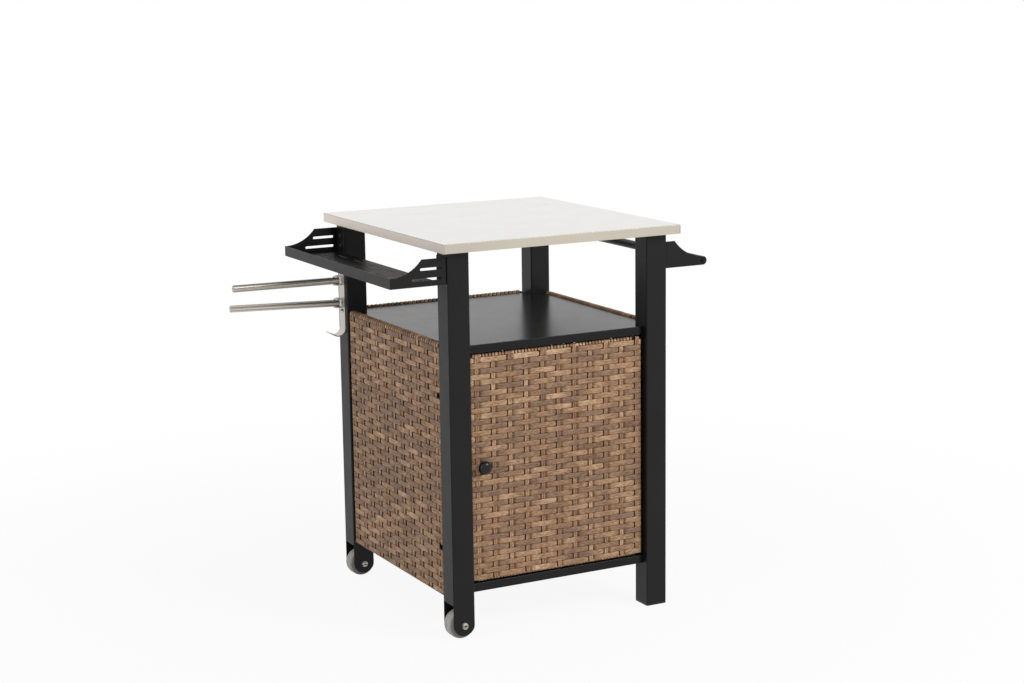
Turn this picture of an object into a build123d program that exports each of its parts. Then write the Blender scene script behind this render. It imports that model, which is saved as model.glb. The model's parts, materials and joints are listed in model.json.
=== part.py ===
"""Outdoor kitchen cart: steel frame, stainless top, wicker cabinet, spice tray, towel rail and swivel arms.

Millimetres and degrees. +X is the cart's right, -Y its front (the door), +Z up.
The origin lies on the floor at the middle of the cart's overall width and depth.
"""

from build123d import *
import os
from math import cos, radians, sin

os.makedirs("parts", exist_ok=True)

# Frame and legs
frame_width = 528.0
frame_depth = 572.0
table_height = 852.0
leg_size = 50.0
leg_wall = 2.0
leg_corner = 3.0

# Tabletop pan
top_overhang_side = 20.0
top_overhang_front = 25.0
top_lip = 20.0
top_sheet = 1.5
top_return = 12.0
top_edge_round = 1.2
top_seam_width = 0.5
top_seam_drop = 2.5
top_plate_size = 84.0
top_plate_thickness = 4.0
stud_diameter = 6.0
stud_length = 11.0
stud_inset = 17.0
top_nut_across = 10.0
top_nut_height = 5.0
stiffener_spacing = 220.0
stiffener_crown = 36.0
stiffener_depth = 13.0
stiffener_flange = 16.0
stiffener_slope = 6.0
stiffener_sheet = 1.2
stiffener_end_gap = 15.0

# Shelves
mid_shelf_drop = 222.0
bottom_shelf_top = 114.5
shelf_lip = 18.0
shelf_sheet = 1.5
shelf_front_setback = 16.0
shelf_return = 34.0
shelf_clearance = 0.3
shelf_edge_round = 1.2
shelf_screw_setback = 20.0

# Wicker panels: a flat bar frame with the weave wrapped round it
panel_rise = 5.0
panel_skirt = 26.5
panel_recess = 2.0
panel_gap = 3.0
weave_thickness = 6.0
weave_rim = 3.0
weave_back = 2.0
weave_return = 9.0
rim_round = 4.0
rim_corner = 5.0
bar_width = 14.0
bar_thickness = 8.0
tab_height = 12.0
tab_notch_margin = 1.0
tab_notch_depth = 15.0
upper_tab_drop = 114.2
lower_tab_rise = 103.6

# Door
door_gap = 3.0
door_proud = 1.0
door_pivot_inset = 18.0
door_pin_diameter = 5.0
door_pin_depth = 10.0
door_pin_end_gap = 1.0
door_pin_head = 12.0
door_pin_head_height = 2.0
spacer_diameter = 11.0
spacer_play = 0.3
rim_hole_margin = 0.5
knob_inset = 26.5
knob_rise = 5.5
knob_diameter = 29.5
knob_length = 25.0
knob_neck = 13.0
knob_head_thickness = 13.0
knob_underside_rise = 2.0
knob_crown_out = 10.6
knob_crown_drop = 2.4
knob_screw_diameter = 4.0
knob_screw_bite = 14.0
striker_width = 36.0
striker_height = 18.0
catch_inset = 40.0
catch_width = 42.0
catch_height = 20.0
catch_depth = 16.0
catch_air = 0.4
catch_pole_slot = 2.0
catch_pole_spacing = 16.0

# Fasteners and fits
screw_diameter = 5.0
screw_head = 9.0
screw_head_height = 2.8
screw_reach = 4.0
screw_socket = 3.0
screw_head_taper_angle = 15.0
panel_bolt_head = 7.5
hole_clearance = 0.15
running_clearance = 0.05

# Side brackets: common to the spice tray and the towel rail
bracket_setback = 3.0
bracket_sheet = 2.0
bracket_flange = 44.0
bracket_screw_inset = 30.0
bracket_bend_round = 2.5

# Spice tray on the left
tray_reach = 128.0
tray_drop = 87.0
tray_lip = 22.0
tray_sheet = 1.5
tray_back_gap = 3.0
tray_end_flange = 10.0
tray_bracket_height = 56.0
tray_shoulder = 56.0
tray_curve_out = 87.0
tray_curve_rise = 31.0
tray_slot_height = 5.5
tray_slot_start = 10.0
tray_upper_slot_end = 60.0
tray_lower_slot_end = 79.0
tray_upper_slot_rise = 35.5
tray_lower_slot_rise = 14.7
tray_screw_rises = (18.0, 40.0)
floor_slot_length = 52.0
floor_slot_width = 3.4
floor_slot_pitch = 86.0
floor_slot_insets = (24.0, 64.0)
floor_slot_count = 6

# Towel rail on the right
rail_reach = 96.0
rail_drop = 88.0
rail_bar_diameter = 19.0
rail_bar_wall = 1.5
rail_bar_plug = 8.0
rail_bracket_drop = 9.5
rail_bracket_height = 58.0
rail_shoulder = 23.0
rail_curve_out = 48.0
rail_curve_rise = 34.5
rail_neck_out = 90.0
rail_neck_rise = 19.5
rail_screw_rises = (15.0, 43.0)

# Swivel rack on the rear left leg
strip_width = 30.0
strip_thickness = 2.0
strip_top_rise = 28.5
hook_drop = 57.0
hook_radius = 17.5
hook_turn_angle = 122.0
hook_tip = 11.0
arm_length = 246.0
arm_diameter = 16.0
arm_wall = 1.2
arm_end_round = 2.5
arm_root = 4.5
arm_pin_diameter = 5.0
arm_pin_head = 8.0
arm_pin_head_height = 1.8
lower_arm_drop = 202.5
arm_spacing = 52.0
upper_arm_angle = 3.2
lower_arm_angle = 13.0
arm_bracket_sheet = 2.0
arm_bracket_width = 18.0
arm_bracket_ear = 18.0
arm_bracket_play = 0.3
arm_bracket_round = 8.0
arm_pivot_out = 9.5
rack_upper_screw_rise = 17.5
rack_lower_screw_drop = 18.5

# Wheels in the left legs
wheel_diameter = 62.0
tyre_width = 38.0
tyre_thickness = 13.0
tyre_round = 11.5
tyre_fit = 0.1
hub_rim = 3.0
hub_rim_width = 34.0
hub_web = 8.0
hub_boss = 18.0
hub_side_play = 0.3
axle_diameter = 8.0
axle_head = 15.0
axle_head_height = 4.5
axle_socket = 5.0
axle_head_taper_angle = 9.0
axle_end = 1.0
axle_nut_across = 13.0
axle_nut_height = 7.0
fork_headroom = 16.0
fork_round_rise = 3.0

# Feet of the right legs
foot_flange = 4.0
foot_plug = 18.0
foot_wall = 2.0
foot_clearance = 0.2

# Places that follow from the sizes above
mid_shelf_top = table_height - mid_shelf_drop
panel_top = mid_shelf_top + panel_rise
panel_bottom = bottom_shelf_top - panel_skirt
tray_bottom = table_height - tray_drop
rail_height = table_height - rail_drop
rail_bracket_bottom = rail_height - rail_bracket_drop
lower_arm_height = table_height - lower_arm_drop
upper_arm_height = lower_arm_height + arm_spacing
strip_top = upper_arm_height + strip_top_rise
hook_bend_height = lower_arm_height - hook_drop
rack_screw_heights = (lower_arm_height - rack_lower_screw_drop, upper_arm_height + rack_upper_screw_rise)
pivot_out = strip_thickness + arm_bracket_sheet + arm_pivot_out
arm_tip_out = pivot_out + arm_length * cos(radians(upper_arm_angle))
rail_tip_out = rail_reach + rail_bar_diameter / 2
frame_x = (arm_tip_out - rail_tip_out) / 2
left_face = frame_x - frame_width / 2
right_face = frame_x + frame_width / 2
front_face = -frame_depth / 2
back_face = frame_depth / 2
leg_left_x = left_face + leg_size / 2
leg_right_x = right_face - leg_size / 2
leg_front_y = front_face + leg_size / 2
leg_rear_y = back_face - leg_size / 2
leg_inside = leg_size - 2 * leg_wall
inner_left = left_face + leg_size
inner_right = right_face - leg_size
inner_front = front_face + leg_size
inner_back = back_face - leg_size
inner_width = inner_right - inner_left
inner_depth = inner_back - inner_front
sheet_underside = table_height - top_sheet
leg_top = sheet_underside - top_plate_thickness
panel_thickness = weave_thickness + bar_thickness + weave_back
panel_height = panel_top - panel_bottom
panel_middle = (panel_top + panel_bottom) / 2
shelf_front = front_face + shelf_front_setback
axle_height = wheel_diameter / 2
fork_round_height = axle_height + fork_round_rise
fork_slot_top = wheel_diameter + fork_headroom
bar_plane_depth = weave_thickness + bar_thickness / 2
hole_radius = screw_diameter / 2 + hole_clearance


def write(builder, name):
    """Label a finished piece and write it to its own file."""
    builder.part.label = name
    export_step(builder.part, f"parts/{name}.step")


def drill(seats, radius, start, depth):
    """Cut round holes into the piece being built, from start above each seat and downwards."""
    with Locations(*[seat.offset(start) for seat in seats]):
        Hole(radius, depth)


# Panel faces: local X runs along the panel, local Y is up, local Z points outwards
left_panel_face = Plane((left_face + panel_recess, 0, panel_middle), x_dir=(0, -1, 0), z_dir=(-1, 0, 0))
right_panel_face = Plane((right_face - panel_recess, 0, panel_middle), x_dir=(0, 1, 0), z_dir=(1, 0, 0))
rear_panel_face = Plane((frame_x, back_face - panel_recess, panel_middle), x_dir=(-1, 0, 0), z_dir=(0, 1, 0))
panel_faces = {
    "left_panel": (left_panel_face, inner_depth - 2 * panel_gap),
    "right_panel": (right_panel_face, inner_depth - 2 * panel_gap),
    "rear_panel": (rear_panel_face, inner_width - 2 * panel_gap),
}
tab_rises = (panel_height / 2 - upper_tab_drop, lower_tab_rise - panel_height / 2)

door_bottom = bottom_shelf_top + door_gap
door_top = mid_shelf_top - shelf_lip - door_gap
door_height = door_top - door_bottom
door_middle = (door_top + door_bottom) / 2
door_width = inner_width - 2 * door_gap
door_face_y = shelf_front - door_proud
door_back_y = door_face_y + panel_thickness
door_face = Plane((frame_x, door_face_y, door_middle), x_dir=(1, 0, 0), z_dir=(0, -1, 0))
door_pivot_x = inner_right - door_gap - door_pivot_inset
door_pivot_y = door_face_y + bar_plane_depth


# Fastener seats: planes on a leg's wall, facing away from the leg
def shelf_seats(shelf_top):
    """Two screws at the front and two at the back, from the shelf's notch lips into the legs."""
    height = shelf_top - shelf_lip / 2
    rows = (shelf_front + shelf_screw_setback, inner_back + shelf_screw_setback / 2)
    left = [Plane((inner_left, y, height), z_dir=(1, 0, 0)) for y in rows]
    right = [Plane((inner_right, y, height), z_dir=(-1, 0, 0)) for y in rows]
    return left + right


def panel_seats(face, width):
    """Four bolts from a panel's frame, through its tabs, into the two legs beside it."""
    seats = []
    for side in (-1, 1):
        for rise in tab_rises:
            origin = face.from_local_coords((side * (width / 2 + panel_gap), rise, -bar_plane_depth))
            seats.append(Plane(origin, z_dir=face.x_dir * -side))
    return seats


def bracket_seats(face_x, outward, side, bottom, rises):
    """Screws of one side bracket's flange, on a leg's outer face."""
    y = side * (back_face - bracket_setback - bracket_screw_inset)
    return [Plane((face_x, y, bottom + rise), z_dir=(outward, 0, 0)) for rise in rises]


mid_seats = shelf_seats(mid_shelf_top)
bottom_seats = shelf_seats(bottom_shelf_top)
bolt_seats = [seat for face, width in panel_faces.values() for seat in panel_seats(face, width)]
tray_seats = []
for side in (-1, 1):
    tray_seats += bracket_seats(left_face, -1, side, tray_bottom, tray_screw_rises)
rail_seats = []
for side in (-1, 1):
    rail_seats += bracket_seats(right_face, 1, side, rail_bracket_bottom, rail_screw_rises)
rack_seats = [Plane((left_face, leg_rear_y, height), z_dir=(-1, 0, 0)) for height in rack_screw_heights]
leg_seats = mid_seats + bottom_seats + bolt_seats + tray_seats + rail_seats + rack_seats


def seats_on_leg(x, y):
    """The fastener seats that lie on the walls of the leg at x, y."""
    reach = leg_size / 2 + hole_clearance
    return [seat for seat in leg_seats if abs(seat.origin.X - x) < reach and abs(seat.origin.Y - y) < reach]


# Legs
def leg_tube(x, y, low):
    """Square tube from low up to the plate under the tabletop, drilled for its fasteners."""
    with BuildPart() as tube:
        with BuildSketch(Plane((x, y, low))):
            RectangleRounded(leg_size, leg_size, leg_corner)
            RectangleRounded(leg_inside, leg_inside, leg_corner - leg_wall, mode=Mode.SUBTRACT)
        extrude(amount=leg_top - low)
        drill(seats_on_leg(x, y), hole_radius, 0, leg_wall)
    return tube


def fork_leg(x, y):
    """Tube whose side walls stop above the wheel and whose front and back walls carry the axle."""
    tube = leg_tube(x, y, fork_round_height - leg_size / 2)
    with BuildPart() as leg:
        add(tube.part)
        with BuildSketch(Plane((x, y, 0))):
            Rectangle(leg_size, leg_inside)
        extrude(amount=fork_slot_top, mode=Mode.SUBTRACT)
        with BuildSketch(Plane((x, y + leg_size / 2, fork_round_height), x_dir=(1, 0, 0), z_dir=(0, -1, 0))):
            Circle(leg_size / 2)
            Rectangle(leg_size, leg_top - fork_round_height, align=(Align.CENTER, Align.MIN))
        extrude(amount=leg_size, mode=Mode.INTERSECT)
        with Locations(Plane((x, y - leg_size / 2, axle_height), z_dir=(0, -1, 0))):
            Hole(axle_diameter / 2 + hole_clearance, leg_size)
    return leg


for end, leg_y in (("front", leg_front_y), ("rear", leg_rear_y)):
    write(fork_leg(leg_left_x, leg_y), f"leg_{end}_left")
    write(leg_tube(leg_right_x, leg_y, foot_flange), f"leg_{end}_right")

# Feet: end plugs under the right legs
for end, leg_y in (("front", leg_front_y), ("rear", leg_rear_y)):
    plug_size = leg_inside - 2 * foot_clearance
    with BuildPart() as foot:
        with BuildSketch(Plane((leg_right_x, leg_y, 0))):
            RectangleRounded(leg_size, leg_size, leg_corner)
        extrude(amount=foot_flange)
        with BuildSketch(Plane((leg_right_x, leg_y, foot_flange))):
            RectangleRounded(plug_size, plug_size, leg_corner - leg_wall)
            Rectangle(plug_size - 2 * foot_wall, plug_size - 2 * foot_wall, mode=Mode.SUBTRACT)
        extrude(amount=foot_plug)
    write(foot, f"foot_{end}_right")

# Tabletop: a folded pan whose lip turns in at the bottom, with open corner seams and weld studs over the legs
top_length = frame_width + 2 * top_overhang_side
top_depth = frame_depth + 2 * top_overhang_front
leg_centres = [(x, y) for x in (leg_left_x, leg_right_x) for y in (leg_front_y, leg_rear_y)]
stud_offset = leg_size / 2 + stud_inset


def towards_middle(value, middle):
    return 1 if value < middle else -1


stud_places = []
for x, y in leg_centres:
    stud_places.append((x + towards_middle(x, frame_x) * stud_offset, y))
    stud_places.append((x, y + towards_middle(y, 0) * stud_offset))

with BuildPart() as tabletop:
    with BuildSketch(Plane((frame_x, 0, table_height))):
        Rectangle(top_length, top_depth)
    extrude(amount=-top_lip)
    fillet(tabletop.faces().sort_by(Axis.Z)[-1].edges(), top_edge_round)
    with BuildSketch(Plane((frame_x, 0, sheet_underside))):
        Rectangle(top_length - 2 * top_sheet, top_depth - 2 * top_sheet)
    extrude(amount=-(top_lip - 2 * top_sheet), mode=Mode.SUBTRACT)
    with BuildSketch(Plane((frame_x, 0, table_height - top_lip))):
        Rectangle(top_length - 2 * top_return, top_depth - 2 * top_return)
    extrude(amount=top_sheet, mode=Mode.SUBTRACT)
    with BuildSketch(Plane((frame_x, 0, table_height - top_lip))):
        with GridLocations(top_length - 2 * top_sheet - top_seam_width, top_depth - top_sheet, 2, 2):
            Rectangle(top_seam_width, top_sheet)
    extrude(amount=top_lip - top_seam_drop, mode=Mode.SUBTRACT)
    with BuildSketch(Plane.XY.offset(sheet_underside)):
        with Locations(*stud_places):
            Circle(stud_diameter / 2)
    extrude(amount=-stud_length)
write(tabletop, "tabletop")

with BuildPart() as top_plates:
    with BuildSketch(Plane.XY.offset(leg_top)):
        for x, y in leg_centres:
            inward = (top_plate_size - leg_size) / 2
            with Locations((x + towards_middle(x, frame_x) * inward, y + towards_middle(y, 0) * inward)):
                RectangleRounded(top_plate_size, top_plate_size, leg_corner)
        with Locations(*stud_places):
            Circle(stud_diameter / 2 + hole_clearance, mode=Mode.SUBTRACT)
    extrude(amount=top_plate_thickness)
write(top_plates, "top_plates")

with BuildPart() as top_nuts:
    with BuildSketch(Plane.XY.offset(leg_top)):
        with Locations(*stud_places):
            RegularPolygon(top_nut_across / 2, 6, major_radius=False)
            Circle(stud_diameter / 2 + hole_clearance, mode=Mode.SUBTRACT)
    extrude(amount=-top_nut_height)
write(top_nuts, "top_nuts")

with BuildPart() as top_stiffeners:
    length = top_depth - 2 * top_return - 2 * stiffener_end_gap
    flange_end = stiffener_crown / 2 + stiffener_slope + stiffener_flange
    flange_middle = sheet_underside - stiffener_sheet / 2
    for x in (frame_x - stiffener_spacing / 2, frame_x + stiffener_spacing / 2):
        with BuildSketch(Plane((x, length / 2, flange_middle), x_dir=(1, 0, 0), z_dir=(0, -1, 0))):
            with BuildLine():
                Polyline(
                    (-flange_end, 0),
                    (-stiffener_crown / 2 - stiffener_slope, 0),
                    (-stiffener_crown / 2, -stiffener_depth),
                    (stiffener_crown / 2, -stiffener_depth),
                    (stiffener_crown / 2 + stiffener_slope, 0),
                    (flange_end, 0),
                )
            trace(line_width=stiffener_sheet)
        extrude(amount=length)
write(top_stiffeners, "top_stiffeners")


# Shelves
shelf_width = frame_width - 2 * (panel_recess + panel_thickness + shelf_clearance)
shelf_back = back_face - panel_recess - panel_thickness - shelf_clearance
shelf_neck_width = inner_width - 2 * shelf_clearance
shelf_neck_depth = inner_depth - 2 * shelf_clearance


def shelf_pan(shelf_top, seats):
    """Pan folded down all round, notched at its corners for the legs."""
    with BuildPart() as pan:
        with BuildSketch(Plane((frame_x, 0, shelf_top))):
            Rectangle(shelf_width, shelf_neck_depth)
            with Locations((0, (shelf_back + shelf_front) / 2)):
                Rectangle(shelf_neck_width, shelf_back - shelf_front)
        extrude(amount=-shelf_lip)
        underside = pan.faces().sort_by(Axis.Z)[0]
        offset(amount=-shelf_sheet, openings=underside, kind=Kind.INTERSECTION)
        front_edges = pan.edges().filter_by(Axis.X).group_by(Axis.Z)[-1]
        fillet(front_edges.sort_by(Axis.Y)[0], shelf_edge_round)
        drill(seats, hole_radius, shelf_clearance + shelf_sheet, shelf_sheet + shelf_clearance)
    return pan


door_pin_hole = door_pin_diameter / 2 + hole_clearance
pivot_plane = Plane((door_pivot_x, door_pivot_y, 0))
shelf_pan_mid = shelf_pan(mid_shelf_top, mid_seats)
with BuildPart() as mid_shelf:
    add(shelf_pan_mid.part)
    with BuildSketch(Plane((frame_x, shelf_front + shelf_sheet, mid_shelf_top - shelf_lip))):
        Rectangle(shelf_neck_width - 2 * shelf_sheet, shelf_return, align=(Align.CENTER, Align.MIN))
    extrude(amount=shelf_sheet)
    with Locations(pivot_plane.offset(mid_shelf_top - shelf_lip + shelf_sheet)):
        Hole(door_pin_hole, shelf_sheet)
write(mid_shelf, "mid_shelf")

shelf_pan_bottom = shelf_pan(bottom_shelf_top, bottom_seats)
with BuildPart() as bottom_shelf:
    add(shelf_pan_bottom.part)
    with Locations(pivot_plane.offset(bottom_shelf_top)):
        Hole(door_pin_hole, shelf_sheet)
write(bottom_shelf, "bottom_shelf")


# Wicker panels and door: the weave is a skin whose rim wraps round a flat bar frame
def woven_skin(face, width, height, notch_rises):
    """Skin with a rounded rim, a channel for the bars and an open back inside the wrap."""
    with BuildPart() as skin:
        with BuildSketch(face):
            RectangleRounded(width, height, rim_corner)
        extrude(amount=-panel_thickness)
        fillet(skin.faces().sort_by_distance(face.origin)[0].edges(), rim_round)
        with BuildSketch(face.offset(-weave_thickness)):
            Rectangle(width - 2 * weave_rim, height - 2 * weave_rim)
        extrude(amount=-bar_thickness, mode=Mode.SUBTRACT)
        with BuildSketch(face.offset(-weave_thickness - bar_thickness)):
            Rectangle(width - 2 * weave_return, height - 2 * weave_return)
        extrude(amount=-weave_back, mode=Mode.SUBTRACT)
        if notch_rises:
            with BuildSketch(face):
                for side in (-1, 1):
                    with Locations(*[(side * width / 2, rise) for rise in notch_rises]):
                        Rectangle(2 * tab_notch_depth, tab_height + 2 * tab_notch_margin)
            extrude(amount=-panel_thickness, mode=Mode.SUBTRACT)
    return skin


def bar_frame(face, width, height, rail_rise, tabs):
    """Welded frame of flat bars with one cross rail, and tabs that reach out to the legs."""
    with BuildPart() as frame:
        with BuildSketch(face.offset(-weave_thickness)):
            Rectangle(width - 2 * weave_rim, height - 2 * weave_rim)
            window = 2 * (weave_rim + bar_width)
            Rectangle(width - window, height - window, mode=Mode.SUBTRACT)
            with Locations((0, rail_rise)):
                Rectangle(width - window, bar_width)
            for side in (-1, 1):
                for rise in tabs:
                    with Locations((side * (width / 2 + (panel_gap - weave_rim) / 2), rise)):
                        Rectangle(weave_rim + panel_gap, tab_height)
        extrude(amount=-bar_thickness)
    return frame


bolt_grip = panel_gap + weave_rim + bar_width
for name, (face, width) in panel_faces.items():
    write(woven_skin(face, width, panel_height, tab_rises), f"{name}_weave")
    plain_frame = bar_frame(face, width, panel_height, 0, tab_rises)
    with BuildPart() as panel_frame:
        add(plain_frame.part)
        drill(panel_seats(face, width), hole_radius, bolt_grip, bolt_grip)
    write(panel_frame, f"{name}_frame")

knob_place = (knob_inset - door_width / 2, knob_rise)
knob_axis_plane = Plane(door_face.from_local_coords(knob_place), x_dir=(1, 0, 0), z_dir=(0, -1, 0))
door_pin_rim_hole = spacer_diameter / 2 + rim_hole_margin
door_skin = woven_skin(door_face, door_width, door_height, ())
with BuildPart() as door_weave:
    add(door_skin.part)
    with Locations(pivot_plane.offset(door_bottom + weave_rim), pivot_plane.offset(door_top)):
        Hole(door_pin_rim_hole, weave_rim)
    with Locations(knob_axis_plane):
        Hole(knob_screw_diameter / 2 + hole_clearance, weave_thickness)
write(door_weave, "door_weave")

plain_door_frame = bar_frame(door_face, door_width, door_height, knob_rise, ())
door_bar_bottom = door_bottom + weave_rim
door_bar_top = door_top - weave_rim
door_pin_bore = door_pin_depth + door_pin_end_gap
with BuildPart() as door_frame:
    add(plain_door_frame.part)
    with Locations(pivot_plane.offset(door_bar_bottom + door_pin_bore), pivot_plane.offset(door_bar_top)):
        Hole(door_pin_diameter / 2 + running_clearance, door_pin_bore)
    with Locations(knob_axis_plane.offset(-weave_thickness)):
        Hole(knob_screw_diameter / 2 + hole_clearance, bar_thickness)
write(door_frame, "door_frame")

with BuildPart() as door_pins:
    for start, direction, head_at in (
        (bottom_shelf_top - shelf_sheet, 1, door_bar_bottom),
        (mid_shelf_top - shelf_lip + shelf_sheet, -1, door_bar_top),
    ):
        seat = Plane((door_pivot_x, door_pivot_y, start), z_dir=(0, 0, direction))
        with BuildSketch(seat):
            Circle(door_pin_head / 2)
        extrude(amount=-door_pin_head_height)
        with BuildSketch(seat):
            Circle(door_pin_diameter / 2)
        extrude(amount=abs(head_at - start) + door_pin_depth)
write(door_pins, "door_pins")

with BuildPart() as door_spacers:
    for low, high in (
        (bottom_shelf_top, door_bar_bottom),
        (door_bar_top + spacer_play, mid_shelf_top - shelf_lip),
    ):
        with BuildSketch(pivot_plane.offset(low)):
            Circle(spacer_diameter / 2)
            Circle(door_pin_hole, mode=Mode.SUBTRACT)
        extrude(amount=high - low)
write(door_spacers, "door_spacers")

# Knob: a turned mushroom on a short neck
with BuildPart() as door_knob:
    profile = Plane(knob_axis_plane.origin, x_dir=(1, 0, 0), z_dir=(0, 0, 1))
    with BuildSketch(profile):
        with BuildLine():
            neck_end = knob_length - knob_head_thickness
            widest = (knob_diameter / 2, -neck_end - knob_underside_rise)
            crown = (knob_crown_out, knob_crown_drop - knob_length)
            Polyline((0, 0), (knob_neck / 2, 0), (knob_neck / 2, -neck_end), widest)
            Spline(widest, crown, (0, -knob_length), tangents=((0, -1), (-1, 0)))
            Line((0, -knob_length), (0, 0))
        make_face()
    revolve(axis=Axis(knob_axis_plane.origin, (0, 1, 0)))
    with Locations(knob_axis_plane):
        Cylinder(
            knob_screw_diameter / 2 + hole_clearance,
            knob_screw_bite + hole_clearance,
            align=(Align.CENTER, Align.CENTER, Align.MIN),
            mode=Mode.SUBTRACT,
        )
write(door_knob, "door_knob")

with BuildPart() as knob_screw:
    with Locations(knob_axis_plane.offset(-weave_thickness - bar_thickness)):
        Cylinder(screw_head / 2, screw_head_height, align=(Align.CENTER, Align.CENTER, Align.MAX))
        Cylinder(
            knob_screw_diameter / 2,
            weave_thickness + bar_thickness + knob_screw_bite,
            align=(Align.CENTER, Align.CENTER, Align.MIN),
        )
write(knob_screw, "knob_screw")

# Magnetic catch under the mid shelf, and its striker on the door's top bar
catch_x = inner_left + door_gap + catch_inset
bar_back_y = door_face_y + weave_thickness + bar_thickness
catch_front_y = door_back_y + catch_air
catch_top = mid_shelf_top - shelf_lip
with BuildPart() as striker_plate:
    strike_top = door_top - weave_return
    with BuildSketch(Plane((catch_x, bar_back_y, strike_top), x_dir=(-1, 0, 0), z_dir=(0, 1, 0))):
        Rectangle(striker_width, striker_height, align=(Align.CENTER, Align.MAX))
    extrude(amount=weave_back)
write(striker_plate, "striker_plate")

with BuildPart() as magnet_catch:
    with BuildSketch(Plane((catch_x, catch_front_y, catch_top))):
        Rectangle(catch_width, catch_depth, align=(Align.CENTER, Align.MIN))
    extrude(amount=-catch_height)
    with BuildSketch(Plane((catch_x, catch_front_y, catch_top - catch_height))):
        with GridLocations(catch_pole_spacing, 0, 2, 1):
            Rectangle(catch_pole_slot, catch_depth)
    extrude(amount=catch_height / 2, mode=Mode.SUBTRACT)
write(magnet_catch, "magnet_catch")


# Side brackets: a flat plate beside the leg's edge, with a flange turned in along the leg's outer face
def side_bracket(outline, face_x, outward, side, bottom, height, seats):
    """Extrude the plate's outline and add the flange. Outline X runs outwards from the leg, Y up."""
    plate_y = side * (back_face - bracket_setback)
    plate_plane = Plane((face_x, plate_y, bottom), x_dir=(outward, 0, 0), z_dir=(0, -outward, 0))
    with BuildPart() as bracket:
        with BuildSketch(plate_plane):
            add(outline)
        extrude(amount=side * outward * bracket_sheet)
        flange_plane = Plane((face_x, plate_y, bottom), x_dir=(0, -side, 0), z_dir=(outward, 0, 0))
        rise = 1 if flange_plane.y_dir.Z > 0 else -1
        with BuildSketch(flange_plane):
            with Locations((bracket_flange / 2, rise * height / 2)):
                Rectangle(bracket_flange, height)
        extrude(amount=bracket_sheet)
        bend = bracket.edges().filter_by(Axis.Z).sort_by_distance((face_x, plate_y, bottom + height / 2))[0]
        fillet(bend, bracket_bend_round)
        drill(seats, hole_radius, bracket_sheet, bracket_sheet)
    return bracket


with BuildSketch() as tray_end:
    with BuildLine():
        tip = (tray_reach - tray_sheet, tray_lip)
        curve = ThreePointArc((tray_shoulder, tray_bracket_height), (tray_curve_out, tray_curve_rise), tip)
        Polyline(tip, (tip[0], 0), (0, 0), (0, tray_bracket_height), curve @ 0)
    make_face()
    for slot_end, slot_rise in (
        (tray_upper_slot_end, tray_upper_slot_rise),
        (tray_lower_slot_end, tray_lower_slot_rise),
    ):
        with Locations(((tray_slot_start + slot_end) / 2, slot_rise)):
            SlotOverall(slot_end - tray_slot_start, tray_slot_height, mode=Mode.SUBTRACT)

for end, side in (("front", -1), ("rear", 1)):
    seats = bracket_seats(left_face, -1, side, tray_bottom, tray_screw_rises)
    bracket = side_bracket(tray_end.sketch, left_face, -1, side, tray_bottom, tray_bracket_height, seats)
    write(bracket, f"tray_bracket_{end}")

# Spice tray: slotted floor, a lip along its outer edge and low flanges against the end brackets
tray_outer = left_face - tray_reach
tray_inner = left_face - tray_back_gap
tray_end_y = back_face - bracket_setback
tray_floor_y = tray_end_y - bracket_sheet
with BuildPart() as spice_tray:
    with BuildSketch(Plane((tray_outer + tray_sheet, 0, tray_bottom))):
        Rectangle(tray_inner - tray_outer - tray_sheet, 2 * tray_floor_y, align=(Align.MIN, Align.CENTER))
        for row, inset in enumerate(floor_slot_insets):
            shift = (row - 0.5) * floor_slot_pitch / 2
            with Locations((tray_inner - inset - tray_outer - tray_sheet, shift)):
                with GridLocations(0, floor_slot_pitch, 1, floor_slot_count):
                    SlotOverall(floor_slot_length, floor_slot_width, rotation=90, mode=Mode.SUBTRACT)
    extrude(amount=tray_sheet)
    with BuildSketch(Plane((tray_outer, 0, tray_bottom))):
        Rectangle(tray_sheet, 2 * tray_end_y, align=(Align.MIN, Align.CENTER))
    extrude(amount=tray_lip)
    with BuildSketch(Plane((tray_outer + tray_sheet, 0, tray_bottom))):
        for side in (-1, 1):
            with Locations((0, side * (tray_floor_y - tray_sheet / 2))):
                Rectangle(tray_inner - tray_outer - tray_sheet, tray_sheet, align=(Align.MIN, Align.CENTER))
    extrude(amount=tray_end_flange)
write(spice_tray, "spice_tray")

# Towel rail: two brackets that taper to the bar's end
with BuildSketch() as rail_end:
    bar_rise = rail_height - rail_bracket_bottom
    with BuildLine():
        shoulder = (rail_shoulder, rail_bracket_height)
        neck = (rail_neck_out, rail_neck_rise)
        over_bar = (rail_reach, bar_rise + rail_bar_diameter / 2)
        under_bar = (rail_reach, bar_rise - rail_bar_diameter / 2)
        ThreePointArc(shoulder, (rail_curve_out, rail_curve_rise), neck)
        Polyline(neck, over_bar, under_bar, (0, 0), (0, rail_bracket_height), shoulder)
    make_face()
    with Locations((rail_reach, bar_rise)):
        Circle(rail_bar_diameter / 2)
        Circle(hole_radius, mode=Mode.SUBTRACT)

for end, side in (("front", -1), ("rear", 1)):
    seats = bracket_seats(right_face, 1, side, rail_bracket_bottom, rail_screw_rises)
    low, height = rail_bracket_bottom, rail_bracket_height
    bracket = side_bracket(rail_end.sketch, right_face, 1, side, low, height, seats)
    write(bracket, f"rail_bracket_{end}")

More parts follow.
